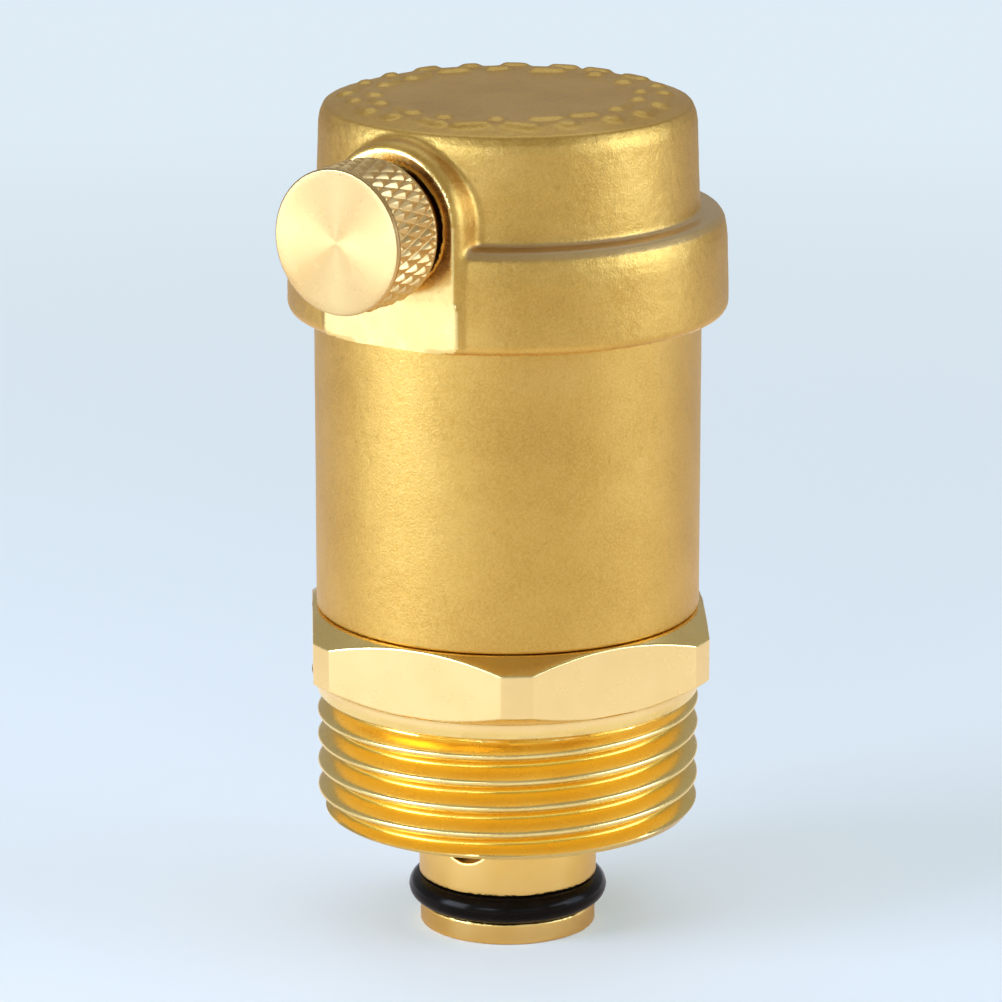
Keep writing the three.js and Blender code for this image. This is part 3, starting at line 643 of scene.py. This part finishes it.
def make_knob():
    rings = Rings(full_turn(KNURLS * 24))

    def knurl(z):
        """radius of two crossing sets of grooves, fading out at both ends"""
        turn = rings.angles * KNURLS / TAU
        one, other = turn + z / KNURL_PITCH, turn - z / KNURL_PITCH
        groove = np.maximum(np.abs(2 * (one % 1) - 1), np.abs(2 * (other % 1) - 1))
        fade = (min(1, max(0, (z - (KNOB_REAR + 0.30)) / 0.2))
                * min(1, max(0, ((KNOB_FACE - 0.50) - z) / 0.16)))
        return KNOB_R - KNURL_DEPTH * groove ** 1.45 * fade - (1 - fade) * 0.20

    rings.profile(KNOB_BACK)
    for z in np.arange(KNOB_REAR + 0.32, KNOB_FACE - 0.50, 0.07):
        rings.add(knurl(z), z)
    rings.profile(KNOB_FRONT)
    return build("knurled_cap", *weld(along_outlet(rings.grid())), "vent_cap_knob", "vent_cap",
                 "turned_brass", angle=60)


knob = make_knob()

# ----------------------------------------------- outlet nozzle, z along -Y as well
NOZZLE_LOW, NOZZLE_HIGH = 20.0, 23.1            # ends of its thread
# (radius, z, fillet) from the bore over the collar to the thread, and round the tip to the bore
NOZZLE_BACK = [(1.0, 12.2, 0.1), (1.7, 12.2, 0.15), (2.0, 12.9, 0.1), (2.5, 12.9, 0.1),
               (2.7, 13.1), (2.7, 17.55, 0.05), (5.0, 17.55, 0.1), (5.0, 19.3, 0.25),
               (3.2, 19.3, 0.1), (3.2, NOZZLE_LOW)]
NOZZLE_TIP = [(3.3, NOZZLE_HIGH), (3.1, 23.4, 0.05), (1.3, 23.4, 0.1), (1.0, 23.1), (1.0, 12.3)]


def make_nozzle():
    rings = Rings(full_turn(240))
    rings.profile(NOZZLE_BACK, steps=3)
    # the turns fall with the angle, as -Y reverses the hand
    for radius, z in thread_rings(-rings.angles / TAU, crest=3.7, root=3.25, pitch=0.75,
                                  low=NOZZLE_LOW, high=NOZZLE_HIGH, steps=10, slack=0.1):
        radius = 3.2 + (radius - 3.2) * np.clip((z - NOZZLE_LOW) / 0.4, 0, 1)
        rings.add(soft_min(radius, 3.3 + (NOZZLE_HIGH - z) * 1.0, 0.08), z)
    rings.profile(NOZZLE_TIP, steps=3)
    rings.rows.append(rings.rows[0])
    return build("outlet_insert", *weld(along_outlet(rings.grid())), "vent_head",
                 "outlet_nozzle", "turned_brass", angle=45)


nozzle = make_nozzle()

# --------------------------------------------------------- washer, gasket, float
turned("cap_washer_disc", [(0, 23.5), (3.8, 23.5, 0.15), (3.8, 24.3, 0.15), (0, 24.3)],
       "vent_cap_carrier", "vent_cap_washer", "rubber_seal", count=96, outlet=True)
turned("cap_gasket_ring",
       [(13.5, 31.9, 0.15), (16.1, 31.9, 0.15), (16.1, 32.8, 0.15), (13.5, 32.8, 0.15)],
       "vent_head", "cap_gasket", "rubber_seal", closed=True)
# (radius, z, fillet) of the float, a cup open downwards: inside first, then outside
FLOAT_PROFILE = [
    (0, 23.6), (2.8, 23.6, 0.3), (2.8, 25.8, 0.6), (10.6, 25.8, 0.8), (11.4, 25.0, 0.3),
    (11.4, 4.3, 0.3), (12.5, 4.3, 0.4), (12.5, 9.0), (12.5, 26.0, 0.8), (11.6, 27.0, 0.6),
    (2.2, 27.0, 0.2), (1.9, 27.15, 0.1), (1.1, 27.15, 0.1), (1.1, 24.6, 0.1), (0, 24.6)]
turned("float_shell", FLOAT_PROFILE, "float_unit", "float", "float_plastic", count=160, steps=5)


# ----------------------------------------------------------------------- springs
def tube(path, radius, sides=14):
    """Round wire along a path, with closed ends."""
    tangents = np.gradient(path, axis=0)
    tangents /= np.linalg.norm(tangents, axis=1, keepdims=True)
    angles = full_turn(sides)
    cos, sin = np.cos(angles)[:, None], np.sin(angles)[:, None]
    rings = [np.tile(path[0], (sides + 1, 1))]
    normal = np.cross(tangents[0], [0, 0, 1.0])
    for point, tangent in zip(path, tangents):
        normal = normal - tangent * (normal @ tangent)
        normal /= np.linalg.norm(normal)
        rings.append(point + radius * (cos * normal + sin * np.cross(tangent, normal)))
    rings.append(np.tile(path[-1], (sides + 1, 1)))
    return weld(np.array(rings))


def make_plunger_spring():
    wire, coil_radius = 0.35, 8.6
    low, high = -15.2 + 0.42, -10.25 - 0.42     # wire centre at the two ends
    end_turns, turns = 0.9, 2.4                 # close turns at each end, open turns between
    end_pitch = 0.73
    total = 2 * end_turns + turns
    turn = np.linspace(0, total, int(total * 60))
    rise = high - low
    open_rise = rise - 2 * end_turns * end_pitch
    z = np.where(turn < end_turns, turn * end_pitch,
                 np.where(turn > total - end_turns, rise - (total - turn) * end_pitch,
                          end_turns * end_pitch + (turn - end_turns) / turns * open_rise))
    path = np.column_stack([coil_radius * np.cos(turn * TAU), coil_radius * np.sin(turn * TAU),
                            low + z])
    coil = build("plunger_coil", *tube(path, wire), None, "plunger_spring", "spring_steel",
                 angle=0)
    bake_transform(coil)


def make_lever_spring():
    """Coil about the lever's pivot."""
    turns, coil_radius, start = 2.5, 1.5, 1.6
    turn = np.linspace(0, turns, 120)
    path = np.column_stack([1.62 + turn / turns * 0.9,
                            PIVOT_Y + coil_radius * np.cos(turn * TAU + start),
                            PIVOT_Z + coil_radius * np.sin(turn * TAU + start)])
    build("lever_coil", *tube(path, 0.15, sides=10), "vent_head", "lever_spring", "spring_steel",
          angle=0)


make_plunger_spring()
make_lever_spring()

# -------------------------------------------------------------------- lever works
FINE = 0.10
LINK_Z = PIVOT_Z - 9.5 * math.sin(DROOP)        # height of the hook's cross pin
# (y, z) outline of the bracket's two side plates
BRACKET_SIDE = [(-11.0, 41.6), (-11.0, 35.2), (-10.4, 33.6), (-8.6, 33.6), (-8.0, 35.2),
                (-7.0, 38.5), (-7.0, 41.6)]
# (y, z) outline of the level lever, from its pivot
LEVER_SIDE = [(-1.7, -0.6), (-1.0, -1.5), (0.4, -1.7), (1.5, -1.0), (7.4, -0.8), (8.0, -1.8),
              (11.4, -1.8), (12.0, -1.2), (12.0, 1.2), (11.4, 1.8), (8.0, 1.8), (7.4, 0.8),
              (2.0, 1.0), (1.1, 2.0), (1.0, 3.6), (0.6, 4.0), (-1.1, 4.0), (-1.5, 3.6),
              (-1.5, 0.6)]


def bracket_field(x, y, z):
    plate = box_field(x, y, z, (0, -6.5, 41.5), (3.6, 4.5, 0.4), 0.2)
    sides = rod_field(outline_field(y, z, BRACKET_SIDE), np.abs(np.abs(x) - 3.2) - 0.4, 0.2)
    shape = soft_min(plate, sides, 0.5)
    shape = soft_max(shape, 1.0 - np.hypot(y - PIVOT_Y, z - PIVOT_Z), 0.1)
    screw_hole = np.maximum(np.hypot(x, y - SCREW_Y) - 1.3, 40.5 - z)
    return soft_max(shape, -screw_hole, 0.1)


def screw_field(x, y, z):
    y = y - SCREW_Y
    radius = np.hypot(x, y)
    head = rod_field(radius - 2.0, np.abs(z - 40.475) - 0.575, 0.3)
    ridge = 0.08 * np.cos(TAU * (z / 0.45) - np.arctan2(y, x))
    shank = rod_field(radius - 0.9 - ridge, np.abs(z - 42.2) - 1.4, 0.2)
    slot = np.maximum(np.abs(y) - 0.3, z - 40.5)
    return soft_max(soft_min(head, shank, 0.1), -slot, 0.05)


def pin_field(x, y, z):
    radius = np.hypot(y - PIVOT_Y, z - PIVOT_Z)
    shape = rod_field(radius - 0.7, np.abs(x + 0.1) - 4.6, 0.15)
    shape = soft_min(shape, rod_field(radius - 1.4, np.abs(x + 4.25) - 0.35, 0.15), 0.1)
    return soft_max(shape, -np.maximum(0.45 - radius, np.abs(x - 4.15) - 0.25), 0.08)


def clip_field(x, y, z):
    y, z = y - PIVOT_Y, z - PIVOT_Z
    ring = rod_field(np.abs(np.hypot(y, z) - 1.1) - 0.48, np.abs(x - 4.15) - 0.14, 0.08)
    return soft_max(ring, -np.maximum(np.abs(z) - 0.5, -y), 0.1)


def lever_field(x, y, z):
    shape = rod_field(outline_field(y, z, LEVER_SIDE), np.abs(x) - 1.3, 0.3)
    shape = soft_max(shape, 1.0 - np.hypot(y, z), 0.15)
    slot = np.hypot(np.maximum(np.abs(y - 9.75) - 0.2, 0), z) - 0.9
    shape = soft_max(shape, -slot, 0.15)
    recess = box_field(np.abs(x) - 1.15, y, z, (0, 4.6, 0), (0.35, 2.0, 0.35), 0.2)
    return soft_max(shape, -recess, 0.15)


def pad_field(x, y, z):
    radius = np.hypot(x, z - (AXIS_Z - PIVOT_Z))
    return rod_field(radius - 1.7, np.abs(y + 2.2) - 0.4, 0.18)


def hook_field(x, y, z):
    stem = rod_field(np.hypot(x, y) - 0.9, np.abs(z - 26.8) - 2.0, 0.2)
    shape = soft_min(stem, box_field(x, y, z, (0, 0, 27.8), (2.9, 1.0, 0.5), 0.25), 0.3)
    arms = box_field(np.abs(x), y, z, (2.4, 0, (28.0 + LINK_Z + 1.0) / 2),
                     (0.5, 0.9, (LINK_Z + 1.0 - 28.0) / 2), 0.25)
    cross_pin = rod_field(np.hypot(y, z - LINK_Z) - 0.5, np.abs(x) - 2.6, 0.1)
    return soft_min(soft_min(shape, arms, 0.4), cross_pin, 0.2)


def drooped(points):
    """Turns the level lever down and moves it to its pivot."""
    x, y, z = points.T
    cos, sin = math.cos(-DROOP), math.sin(-DROOP)
    return np.column_stack([x, PIVOT_Y + y * cos - z * sin, PIVOT_Z + y * sin + z * cos])


def make_lever_works():
    pad_z = AXIS_Z - PIVOT_Z
    build_field("bracket_plate", bracket_field, (-3.7, -11.1, 33.5), (3.7, -1.9, 42.0), FINE,
                "vent_head", "lever_bracket")
    build_field("bracket_screw_body", screw_field, (-2.1, -6.1, 39.8), (2.1, -1.9, 43.7), FINE,
                "vent_head", "bracket_screw")
    build_field("pivot_pin_body", pin_field, (-4.7, PIVOT_Y - 1.5, PIVOT_Z - 1.5),
                (4.7, PIVOT_Y + 1.5, PIVOT_Z + 1.5), FINE, "vent_head", "pivot_pin")
    build_field("pin_clip_ring", clip_field, (3.9, PIVOT_Y - 1.7, PIVOT_Z - 1.7),
                (4.4, PIVOT_Y + 1.7, PIVOT_Z + 1.7), FINE * 0.7, "vent_head", "pin_clip")
    build_field("lever_arm_body", lever_field, (-1.4, -1.8, -1.9), (1.4, 12.1, 4.1), FINE,
                "lever_arm", "lever", "lever_plastic", place=drooped)
    build_field("valve_pad_disc", pad_field, (-1.8, -2.7, pad_z - 1.8), (1.8, -1.7, pad_z + 1.8),
                FINE, "lever_arm", "valve_pad", "rubber_seal", angle=50, place=drooped)
    build_field("float_hook_body", hook_field, (-3.0, -1.1, 24.7), (3.0, 1.1, LINK_Z + 1.1),
                FINE, "float_unit", "float_hook")


make_lever_works()


# --------------------------------------------------------------------- materials
def srgb(*channels):
    """linear RGBA from 0-255 sRGB values"""
    return (*(c / 255 / 12.92 if c / 255 <= 0.04045 else ((c / 255 + 0.055) / 1.055) ** 2.4
              for c in channels), 1)


class Nodes:
    """A shader node tree; wherever a value is wanted, a socket may be given instead."""

    def __init__(self, tree):
        self.tree = tree
        tree.nodes.clear()

    def feed(self, socket, value):
        if hasattr(value, "links"):
            self.tree.links.new(value, socket)
        else:
            socket.default_value = value

    def node(self, kind, inputs={}, **settings):
        node = self.tree.nodes.new(kind)
        for key, value in settings.items():
            setattr(node, key, value)
        for key, value in inputs.items():
            self.feed(node.inputs[key], value)
        return node

    def coords(self, kind):
        return self.node("ShaderNodeTexCoord").outputs[kind]

    def split(self, vector):
        return self.node("ShaderNodeSeparateXYZ", {0: vector}).outputs

    def combine(self, x, y):
        return self.node("ShaderNodeCombineXYZ", {0: x, 1: y}).outputs[0]

    def length(self, vector):
        return self.node("ShaderNodeVectorMath", {0: vector}, operation="LENGTH").outputs["Value"]

    def math(self, operation, *values):
        return self.node("ShaderNodeMath", dict(enumerate(values)), operation=operation).outputs[0]

    def ramp(self, source, stops):
        node = self.node("ShaderNodeValToRGB", {"Fac": source})
        elements = node.color_ramp.elements
        while len(elements) < len(stops):
            elements.new(0.5)
        for i, (position, color) in enumerate(stops):
            elements[i].position = position
            elements[i].color = (*color[:3], 1)
        return node.outputs["Color"]

    def remap(self, source, span, to):
        return self.node("ShaderNodeMapRange", {
            "From Min": span[0], "From Max": span[1], "To Min": to[0], "To Max": to[1],
            "Value": source}).outputs["Result"]

    def mix(self, amount, first, second):
        # sockets 0, 6 and 7 are the factor and the two colours; output 2 is the colour
        return self.node("ShaderNodeMix", {0: amount, 6: first, 7: second}, data_type="RGBA",
                         blend_type="MIX").outputs[2]


class Material(Nodes):
    """A Principled material with textures in object coordinates."""

    def __init__(self, name):
        self.material = bpy.data.materials.new(name)
        self.material.use_nodes = True
        super().__init__(self.material.node_tree)
        self.shader = self.node("ShaderNodeBsdfPrincipled")
        self.node("ShaderNodeOutputMaterial", {0: self.shader.outputs[0]})
        self.place = self.coords("Object")

    def noise(self, scale, detail=3, rough=0.55, place=None):
        return self.node("ShaderNodeTexNoise", {
            "Scale": scale, "Detail": detail, "Roughness": rough,
            "Vector": place or self.place}).outputs["Fac"]

    def mottle(self, tones, start=0.3, **noise):
        """two tones mixed in patches"""
        return self.ramp(self.noise(**noise), [(start, tones[0]), (0.7, tones[1])])

    def vary(self, to, **noise):
        """a value that wanders between two limits"""
        return self.remap(self.noise(**noise), span=(0.3, 0.7), to=to)

    def bump(self, source, strength, distance, below=None):
        inputs = {"Strength": strength, "Distance": distance, "Height": source}
        if below is not None:
            inputs["Normal"] = below
        return self.node("ShaderNodeBump", inputs).outputs["Normal"]

    def shade(self, inputs):
        """sets the shader's inputs and returns the finished material"""
        for key, value in inputs.items():
            self.feed(self.shader.inputs[key], value)
        return self.material


def blasted_brass(name):
    """Forged brass after sand blasting: matt, finely pitted, a little uneven in colour."""
    mat = Material(name)
    fine = mat.noise(scale=5200, detail=2, rough=0.6)
    mid = mat.noise(scale=1500, detail=3, rough=0.6)
    wide = mat.noise(scale=160, detail=3, rough=0.5)
    color = mat.ramp(wide, [(0.30, srgb(205, 155, 66)), (0.52, srgb(213, 164, 73)),
                            (0.74, srgb(220, 172, 83))])
    glint = mat.remap(fine, span=(0.35, 0.7), to=(0.0, 0.40))
    color = mat.mix(glint, color, srgb(237, 197, 113))
    # painted shade: the low spots of the mid-scale bump are darkened a little, towards a deep
    # brown
    pit_shade = mat.remap(mid, span=(0.3, 0.45), to=(0.12, 0.0))
    color = mat.mix(pit_shade, color, srgb(150, 112, 48))
    # painted reflection: upward-facing faces at the ledge get a paler, greyer tone that stands in
    # for the sky they reflect
    height = mat.split(mat.place)["Z"]
    upward = mat.split(mat.coords("Normal"))["Z"]
    ledge = (SEAM + LEDGE) / 1000
    ledge_reflection = mat.remap(upward, span=(0.25, 0.8), to=(0.0, 0.75))
    for span, to in (((ledge - 0.0012, ledge - 0.0004), (0.0, 1.0)),
                     ((ledge + 0.0005, ledge + 0.0016), (1.0, 0.0))):
        ledge_reflection = mat.math("MULTIPLY", ledge_reflection, mat.remap(height, span=span, to=to))
    normal = mat.bump(mid, strength=0.32, distance=0.00006)
    return mat.shade({
        "Base Color": mat.mix(ledge_reflection, color, srgb(215, 188, 140)),
        "Metallic": 1.0,
        "Roughness": mat.remap(mid, span=(0.3, 0.7), to=(0.38, 0.48)),
        "Normal": mat.bump(fine, strength=0.80, distance=0.00003, below=normal)})


def turned_brass(name, tones, rough, aniso, axis="Z", groove_reflection=None, marks=0.08, painted_sheen=None):
    """Bright lathe-turned brass with fine tool marks round its axis. deep is a painted reflection,
    the tone of the light that bounces in the base thread's grooves; fan is a painted highlight,
    the sheen on a faced end; marks is the bump strength."""
    mat = Material(name)
    x, y, z = mat.split(mat.place)
    color = mat.mottle([srgb(*tone) for tone in tones], start=0.35, scale=220, detail=3,
                       rough=0.5)
    if groove_reflection:
        # painted reflection: warmer and more saturated near the root radius, below the hexagon
        # (metres), for the light that bounces between the thread's flanks
        radius = mat.length(mat.combine(x, y))
        near = mat.remap(radius, span=(BASE_ROOT / 1000, 0.01655), to=(1.0, 0.0))
        below = mat.remap(z, span=(0.0204, 0.0214), to=(1.0, 0.0))
        color = mat.mix(mat.math("MULTIPLY", near, below), color, srgb(*groove_reflection))
    if axis == "Z":
        across, along = y, z
    else:
        across, along = mat.math("SUBTRACT", z, (SEAM + AXIS_Z) / 1000), y
    radius = mat.length(mat.combine(x, across))
    if painted_sheen:
        # painted highlight: a bow-tie shaped sheen across a faced disc, lightest along the
        # vertical through its axis
        share = mat.math("DIVIDE", mat.math("ABSOLUTE", x), radius)
        color = mat.mix(mat.remap(share, span=(0.05, 0.75), to=(1.0, 0.0)), color, srgb(*painted_sheen))
    # tool marks: noise of the radius and of the place along the axis only
    grooves = mat.noise(scale=9000, detail=2, rough=0.5, place=mat.combine(radius, along))
    return mat.shade({
        "Base Color": color,
        "Metallic": 1.0,
        "Roughness": mat.vary(to=rough, scale=420, detail=2, rough=0.5),
        "Anisotropic": aniso,
        "Tangent": mat.node("ShaderNodeTangent", direction_type="RADIAL", axis=axis).outputs[0],
        "Normal": mat.bump(grooves, strength=marks, distance=0.00002)})


def milled_brass(name):
    mat = Material(name)
    stretched = mat.node("ShaderNodeMapping", {"Scale": (1, 1, 8), "Vector": mat.place})
    streaks = mat.noise(scale=1500, detail=2, rough=0.5, place=stretched.outputs[0])
    return mat.shade({
        "Base Color": mat.mottle([srgb(243, 209, 124), srgb(247, 214, 132)], start=0.35,
                                 scale=300, detail=2, rough=0.5),
        "Metallic": 1.0,
        "Roughness": mat.vary(to=(0.20, 0.30), scale=1200, detail=2),
        "Normal": mat.bump(streaks, strength=0.04, distance=0.00002)})


def plain(name, tones, patches, rough, rough_scale, grain, strength, distance, more={}):
    """Mottled material with a fine grain; patches and grain are (scale, detail) of noises."""
    mat = Material(name)
    return mat.shade({
        "Base Color": mat.mottle(tones, scale=patches[0], detail=patches[1]),
        "Roughness": mat.vary(to=rough, scale=rough_scale, detail=2),
        "Normal": mat.bump(mat.noise(*grain), strength=strength, distance=distance),
        **more})


def plastic(name, *tones):
    return plain(name, tones, patches=(400, 3), rough=(0.40, 0.53), rough_scale=2000,
                 grain=(2600, 3), strength=0.2, distance=0.00003)


CAST = blasted_brass("blasted_brass")
BASE = turned_brass("turned_brass_base", tones=((246, 210, 124), (251, 220, 138)),
                    groove_reflection=(246, 202, 80), rough=(0.24, 0.30), aniso=0.3)
HEX = turned_brass("milled_brass_hex", tones=((246, 210, 136), (251, 216, 143)),
                   rough=(0.26, 0.32), aniso=0.0, marks=0.03)
STEM = turned_brass("turned_brass_stem", tones=((250, 202, 106), (254, 211, 122)),
                    rough=(0.28, 0.36), aniso=0.3)
KNOB = turned_brass("turned_brass_knob", tones=((211, 168, 102), (214, 172, 106)), axis="Y",
                    rough=(0.25, 0.29), aniso=0.7, painted_sheen=(223, 189, 122))
KNURL = turned_brass("knurled_brass", tones=((216, 176, 106), (230, 192, 122)), axis="Y",
                     rough=(0.36, 0.44), aniso=0.0)
FLAT = milled_brass("milled_brass")
RUBBER = plain("rubber_black", tones=((0.0035, 0.0028, 0.0020), (0.0060, 0.0048, 0.0036)),
               patches=(500, 3), rough=(0.16, 0.24), rough_scale=1800, grain=(3500, 2),
               strength=0.12, distance=0.00002,
               more={"Specular IOR Level": 0.11, "Specular Tint": (1.0, 0.80, 0.56, 1)})
STEEL = plain("steel_bright", tones=((0.50, 0.50, 0.49), (0.60, 0.60, 0.58)),
              patches=(700, 2), rough=(0.22, 0.34), rough_scale=2400, grain=(5000, 2),
              strength=0.1, distance=0.00001, more={"Metallic": 1.0})
WHITE = plastic("float_white", (0.72, 0.70, 0.62), (0.80, 0.78, 0.70))
GREY = plastic("lever_grey", (0.045, 0.048, 0.052), (0.06, 0.063, 0.068))


def paint(ob, *materials):
    ob.data.materials.clear()
    for material in materials:
        ob.data.materials.append(material)


def second_material(ob, test):
    """Gives the second material to faces that pass test(x, y, z, normal)."""
    polygons = ob.data.polygons
    centres, normals = np.empty((2, len(polygons) * 3), np.float32)
    polygons.foreach_get("center", centres)
    polygons.foreach_get("normal", normals)
    centres = centres.reshape(-1, 3) * 1000
    centres[:, 2] -= SEAM
    chosen = test(*centres.T, normals.reshape(-1, 3).T)
    polygons.foreach_set("material_index", np.where(chosen, 1, 0).astype(np.int32))


BY_SLOT = {"rubber_seal": RUBBER, "spring_steel": STEEL, "float_plastic": WHITE,
           "lever_plastic": GREY}
for piece, slot_name in pieces:
    if slot_name in BY_SLOT:
        paint(piece, BY_SLOT[slot_name])
paint(base, BASE, HEX)
paint(body, CAST, STEM)
paint(cap, CAST, FLAT)
paint(plunger, STEM)
paint(knob, KNOB, KNURL)
paint(nozzle, KNOB)

# the knurled band; the hexagon's flats and the collar under it; the cap's machined faces and the
# lowest 0.2 mm of its lower edge; the body's ends and inside
second_material(knob, lambda x, y, z, normal:
                (-y < KNOB_FACE - 0.47) & (np.hypot(x, z - AXIS_Z) > 5.6))
# Painted light: the collar under the hexagon also gets this slightly paler brass, to lighten a
# band that lies in the hexagon's shadow.
second_material(base, lambda x, y, z, normal:
                (z > -6.75) & (np.hypot(x, y) > 16.55) & (np.abs(normal[2]) < 0.3))
# Partly painted highlight: the faced lower end is machined, and the band up to 0.2 mm above it on
# the rounded edge gets the same pale brass to give a thin bright line along the joint.
second_material(cap, lambda x, y, z, normal:
                ((y < -LUG_FACE + 0.06) & (normal[1] < -0.8)) | (z < CAP_LOW + 0.2)
                | ((np.hypot(x, y) < 16.6) & (z < 33.0) & (y > -16.9)))
second_material(body, lambda x, y, z, normal:
                (z < 0.3) | (z > CAP_LOW - 0.3) | (np.hypot(x, y) < 16.3))

# ------------------------------------------------------------------ floor, metres
FLOOR_R = 4.0
FLOOR_GLOW = 0.34                               # strength of the glow that the piece sees
# (distance / 0.4 m, brightness) of that glow; it is nil within about 12 mm of the axis, a painted
# contact shadow round the foot
GLOW_STOPS = [(0.03, 0.0), (0.12, 1.12), (0.24, 1.12), (0.36, 0.72), (0.82, 0.05)]


def floor_material():
    """The piece sees a brighter floor round its foot than the camera does."""
    mat = Material("floor_pale")
    camera_ray = mat.node("ShaderNodeLightPath").outputs["Is Camera Ray"]
    distance = mat.length(mat.place)
    glow = mat.ramp(mat.remap(distance, span=(0.0, 0.4), to=(0.0, 1.0)),
                    [(position, (value,) * 3) for position, value in GLOW_STOPS])
    # away from the piece the camera sees an even backdrop instead of the lit floor
    far = mat.remap(distance, span=(0.12, 0.36), to=(0.0, 1.0))
    unlit = mat.math("MULTIPLY", camera_ray, far)
    pale = mat.mottle([(0.82, 0.72, 0.64), (0.84, 0.74, 0.66)], scale=6, detail=2)
    backdrop = mat.mix(far, (0.15, 0.24, 0.24, 1), (0.72, 0.825, 0.905, 1))
    return mat.shade({
        "Roughness": 0.8,
        "Specular IOR Level": 0.15,
        "Base Color": mat.mix(unlit, pale, (0, 0, 0, 1)),
        "Emission Color": mat.mix(camera_ray, glow, backdrop),
        "Emission Strength": mat.remap(camera_ray, span=(0, 1), to=(FLOOR_GLOW, 1.0))})


def make_floor():
    """Disc of rings that widen outwards, just under the piece."""
    count = 96
    radii = np.geomspace(0.02, FLOOR_R, 40)
    angles = full_turn(count)[:-1]
    verts = [(0, 0, 0)] + [(r * math.cos(a), r * math.sin(a), 0) for r in radii for a in angles]
    faces = [(0, 1 + i, 1 + (i + 1) % count) for i in range(count)]
    for k in range(len(radii) - 1):
        inner = 1 + k * count
        outer = inner + count
        faces += [(inner + i, outer + i, outer + (i + 1) % count, inner + (i + 1) % count)
                  for i in range(count)]
    mesh = bpy.data.meshes.new("studio_floor")
    mesh.from_pydata(verts, [], faces)
    ob = bpy.data.objects.new("studio_floor", mesh)
    bpy.context.scene.collection.objects.link(ob)
    ob.location.z = -0.00002
    mesh.materials.append(floor_material())


make_floor()

# ------------------------------------------------------------------------ lights
CAMERA_AZIMUTH = 33.0                           # degrees from -Y towards +X
LIGHT_COLOR = (0.92, 1.26, 2.05)
# name, azimuth from the camera in degrees (+ to its right), distance and z in the scene in mm,
# width, height, power in watts, z of the point on the axis that it is aimed at
LIGHTS = [
    ("soft_left", -65, 430, 158, 230, 245, 1.27, 75),
    ("soft_right", 84, 430, 150, 210, 235, 0.45, 75),
    ("rim_left", -24, 430, 140, 150, 80, 0.20, 70),
    ("rim_right", 64, 400, 145, 170, 80, 0.19, 70),
    ("soft_front", 22, 520, 130, 320, 90, 0.08, 60),
    ("soft_top", 175, 260, 640, 600, 400, 0.42, 60),
]


def around(azimuth, distance, z):
    """A scene point in metres, from an azimuth relative to the camera and mm."""
    angle = (CAMERA_AZIMUTH + azimuth) * DEG
    return Vector((distance * math.sin(angle), -distance * math.cos(angle), z)) / 1000


def add_aimed(name, data, location, target):
    ob = bpy.data.objects.new(name, data)
    ob.location = location
    ob.rotation_euler = (target - ob.location).to_track_quat("-Z", "Y").to_euler()
    bpy.context.scene.collection.objects.link(ob)
    return ob


for name, azimuth, distance, z, width, height, power, aim_z in LIGHTS:
    light = bpy.data.lights.new(name, "AREA")
    light.shape = "RECTANGLE"
    light.size, light.size_y = width / 1000, height / 1000
    light.energy = power
    light.color = LIGHT_COLOR
    add_aimed(name, light, around(azimuth, distance, z), Vector((0, 0, aim_z)) / 1000)


# ------------------------------------------------------------------------- world
def make_world():
    """The camera sees a plain pale blue; everything else sees a dimmer, whiter sky."""
    world = bpy.data.worlds.new("studio")
    bpy.context.scene.world = world
    world.use_nodes = True
    sky = Nodes(world.node_tree)
    height = sky.remap(sky.split(sky.coords("Generated"))["Z"], span=(-1, 1), to=(0, 1))
    light = sky.ramp(height, [(0.50, (0.95, 0.98, 1.05)), (0.95, (0.92, 0.94, 0.97))])
    reflected = sky.node("ShaderNodeBackground", {"Color": light, "Strength": 0.4})
    seen = sky.node("ShaderNodeBackground", {"Color": (0.74, 0.83, 0.905, 1), "Strength": 1.0})
    camera_ray = sky.node("ShaderNodeLightPath").outputs["Is Camera Ray"]
    mixed = sky.node("ShaderNodeMixShader", {0: camera_ray, 1: reflected.outputs[0],
                                             2: seen.outputs[0]})
    sky.node("ShaderNodeOutputWorld", {0: mixed.outputs[0]})


make_world()

# ------------------------------------------------------------------------ camera
CAMERA_DISTANCE, CAMERA_Z = 450, 130.834
CAMERA_PITCH = 15.15 * DEG                      # downward tilt
CAMERA_SHIFT = 0.00059                          # metres by which the aim lies left of the axis


def make_camera():
    camera = bpy.data.cameras.new("camera")
    camera.lens = 193.4
    camera.sensor_width = 36
    camera.clip_start, camera.clip_end = 0.01, 20
    azimuth = CAMERA_AZIMUTH * DEG
    right = Vector((math.cos(azimuth), math.sin(azimuth), 0))
    aim_z = SEAM + CAMERA_Z - CAMERA_DISTANCE * math.tan(CAMERA_PITCH)
    return add_aimed("camera", camera, around(0, CAMERA_DISTANCE, SEAM + CAMERA_Z),
                     Vector((0, 0, aim_z / 1000)) - right * CAMERA_SHIFT)


scene = bpy.context.scene
scene.camera = make_camera()
scene.view_settings.view_transform = "Standard"
scene.view_settings.look = "None"
scene.view_settings.exposure = 0.0
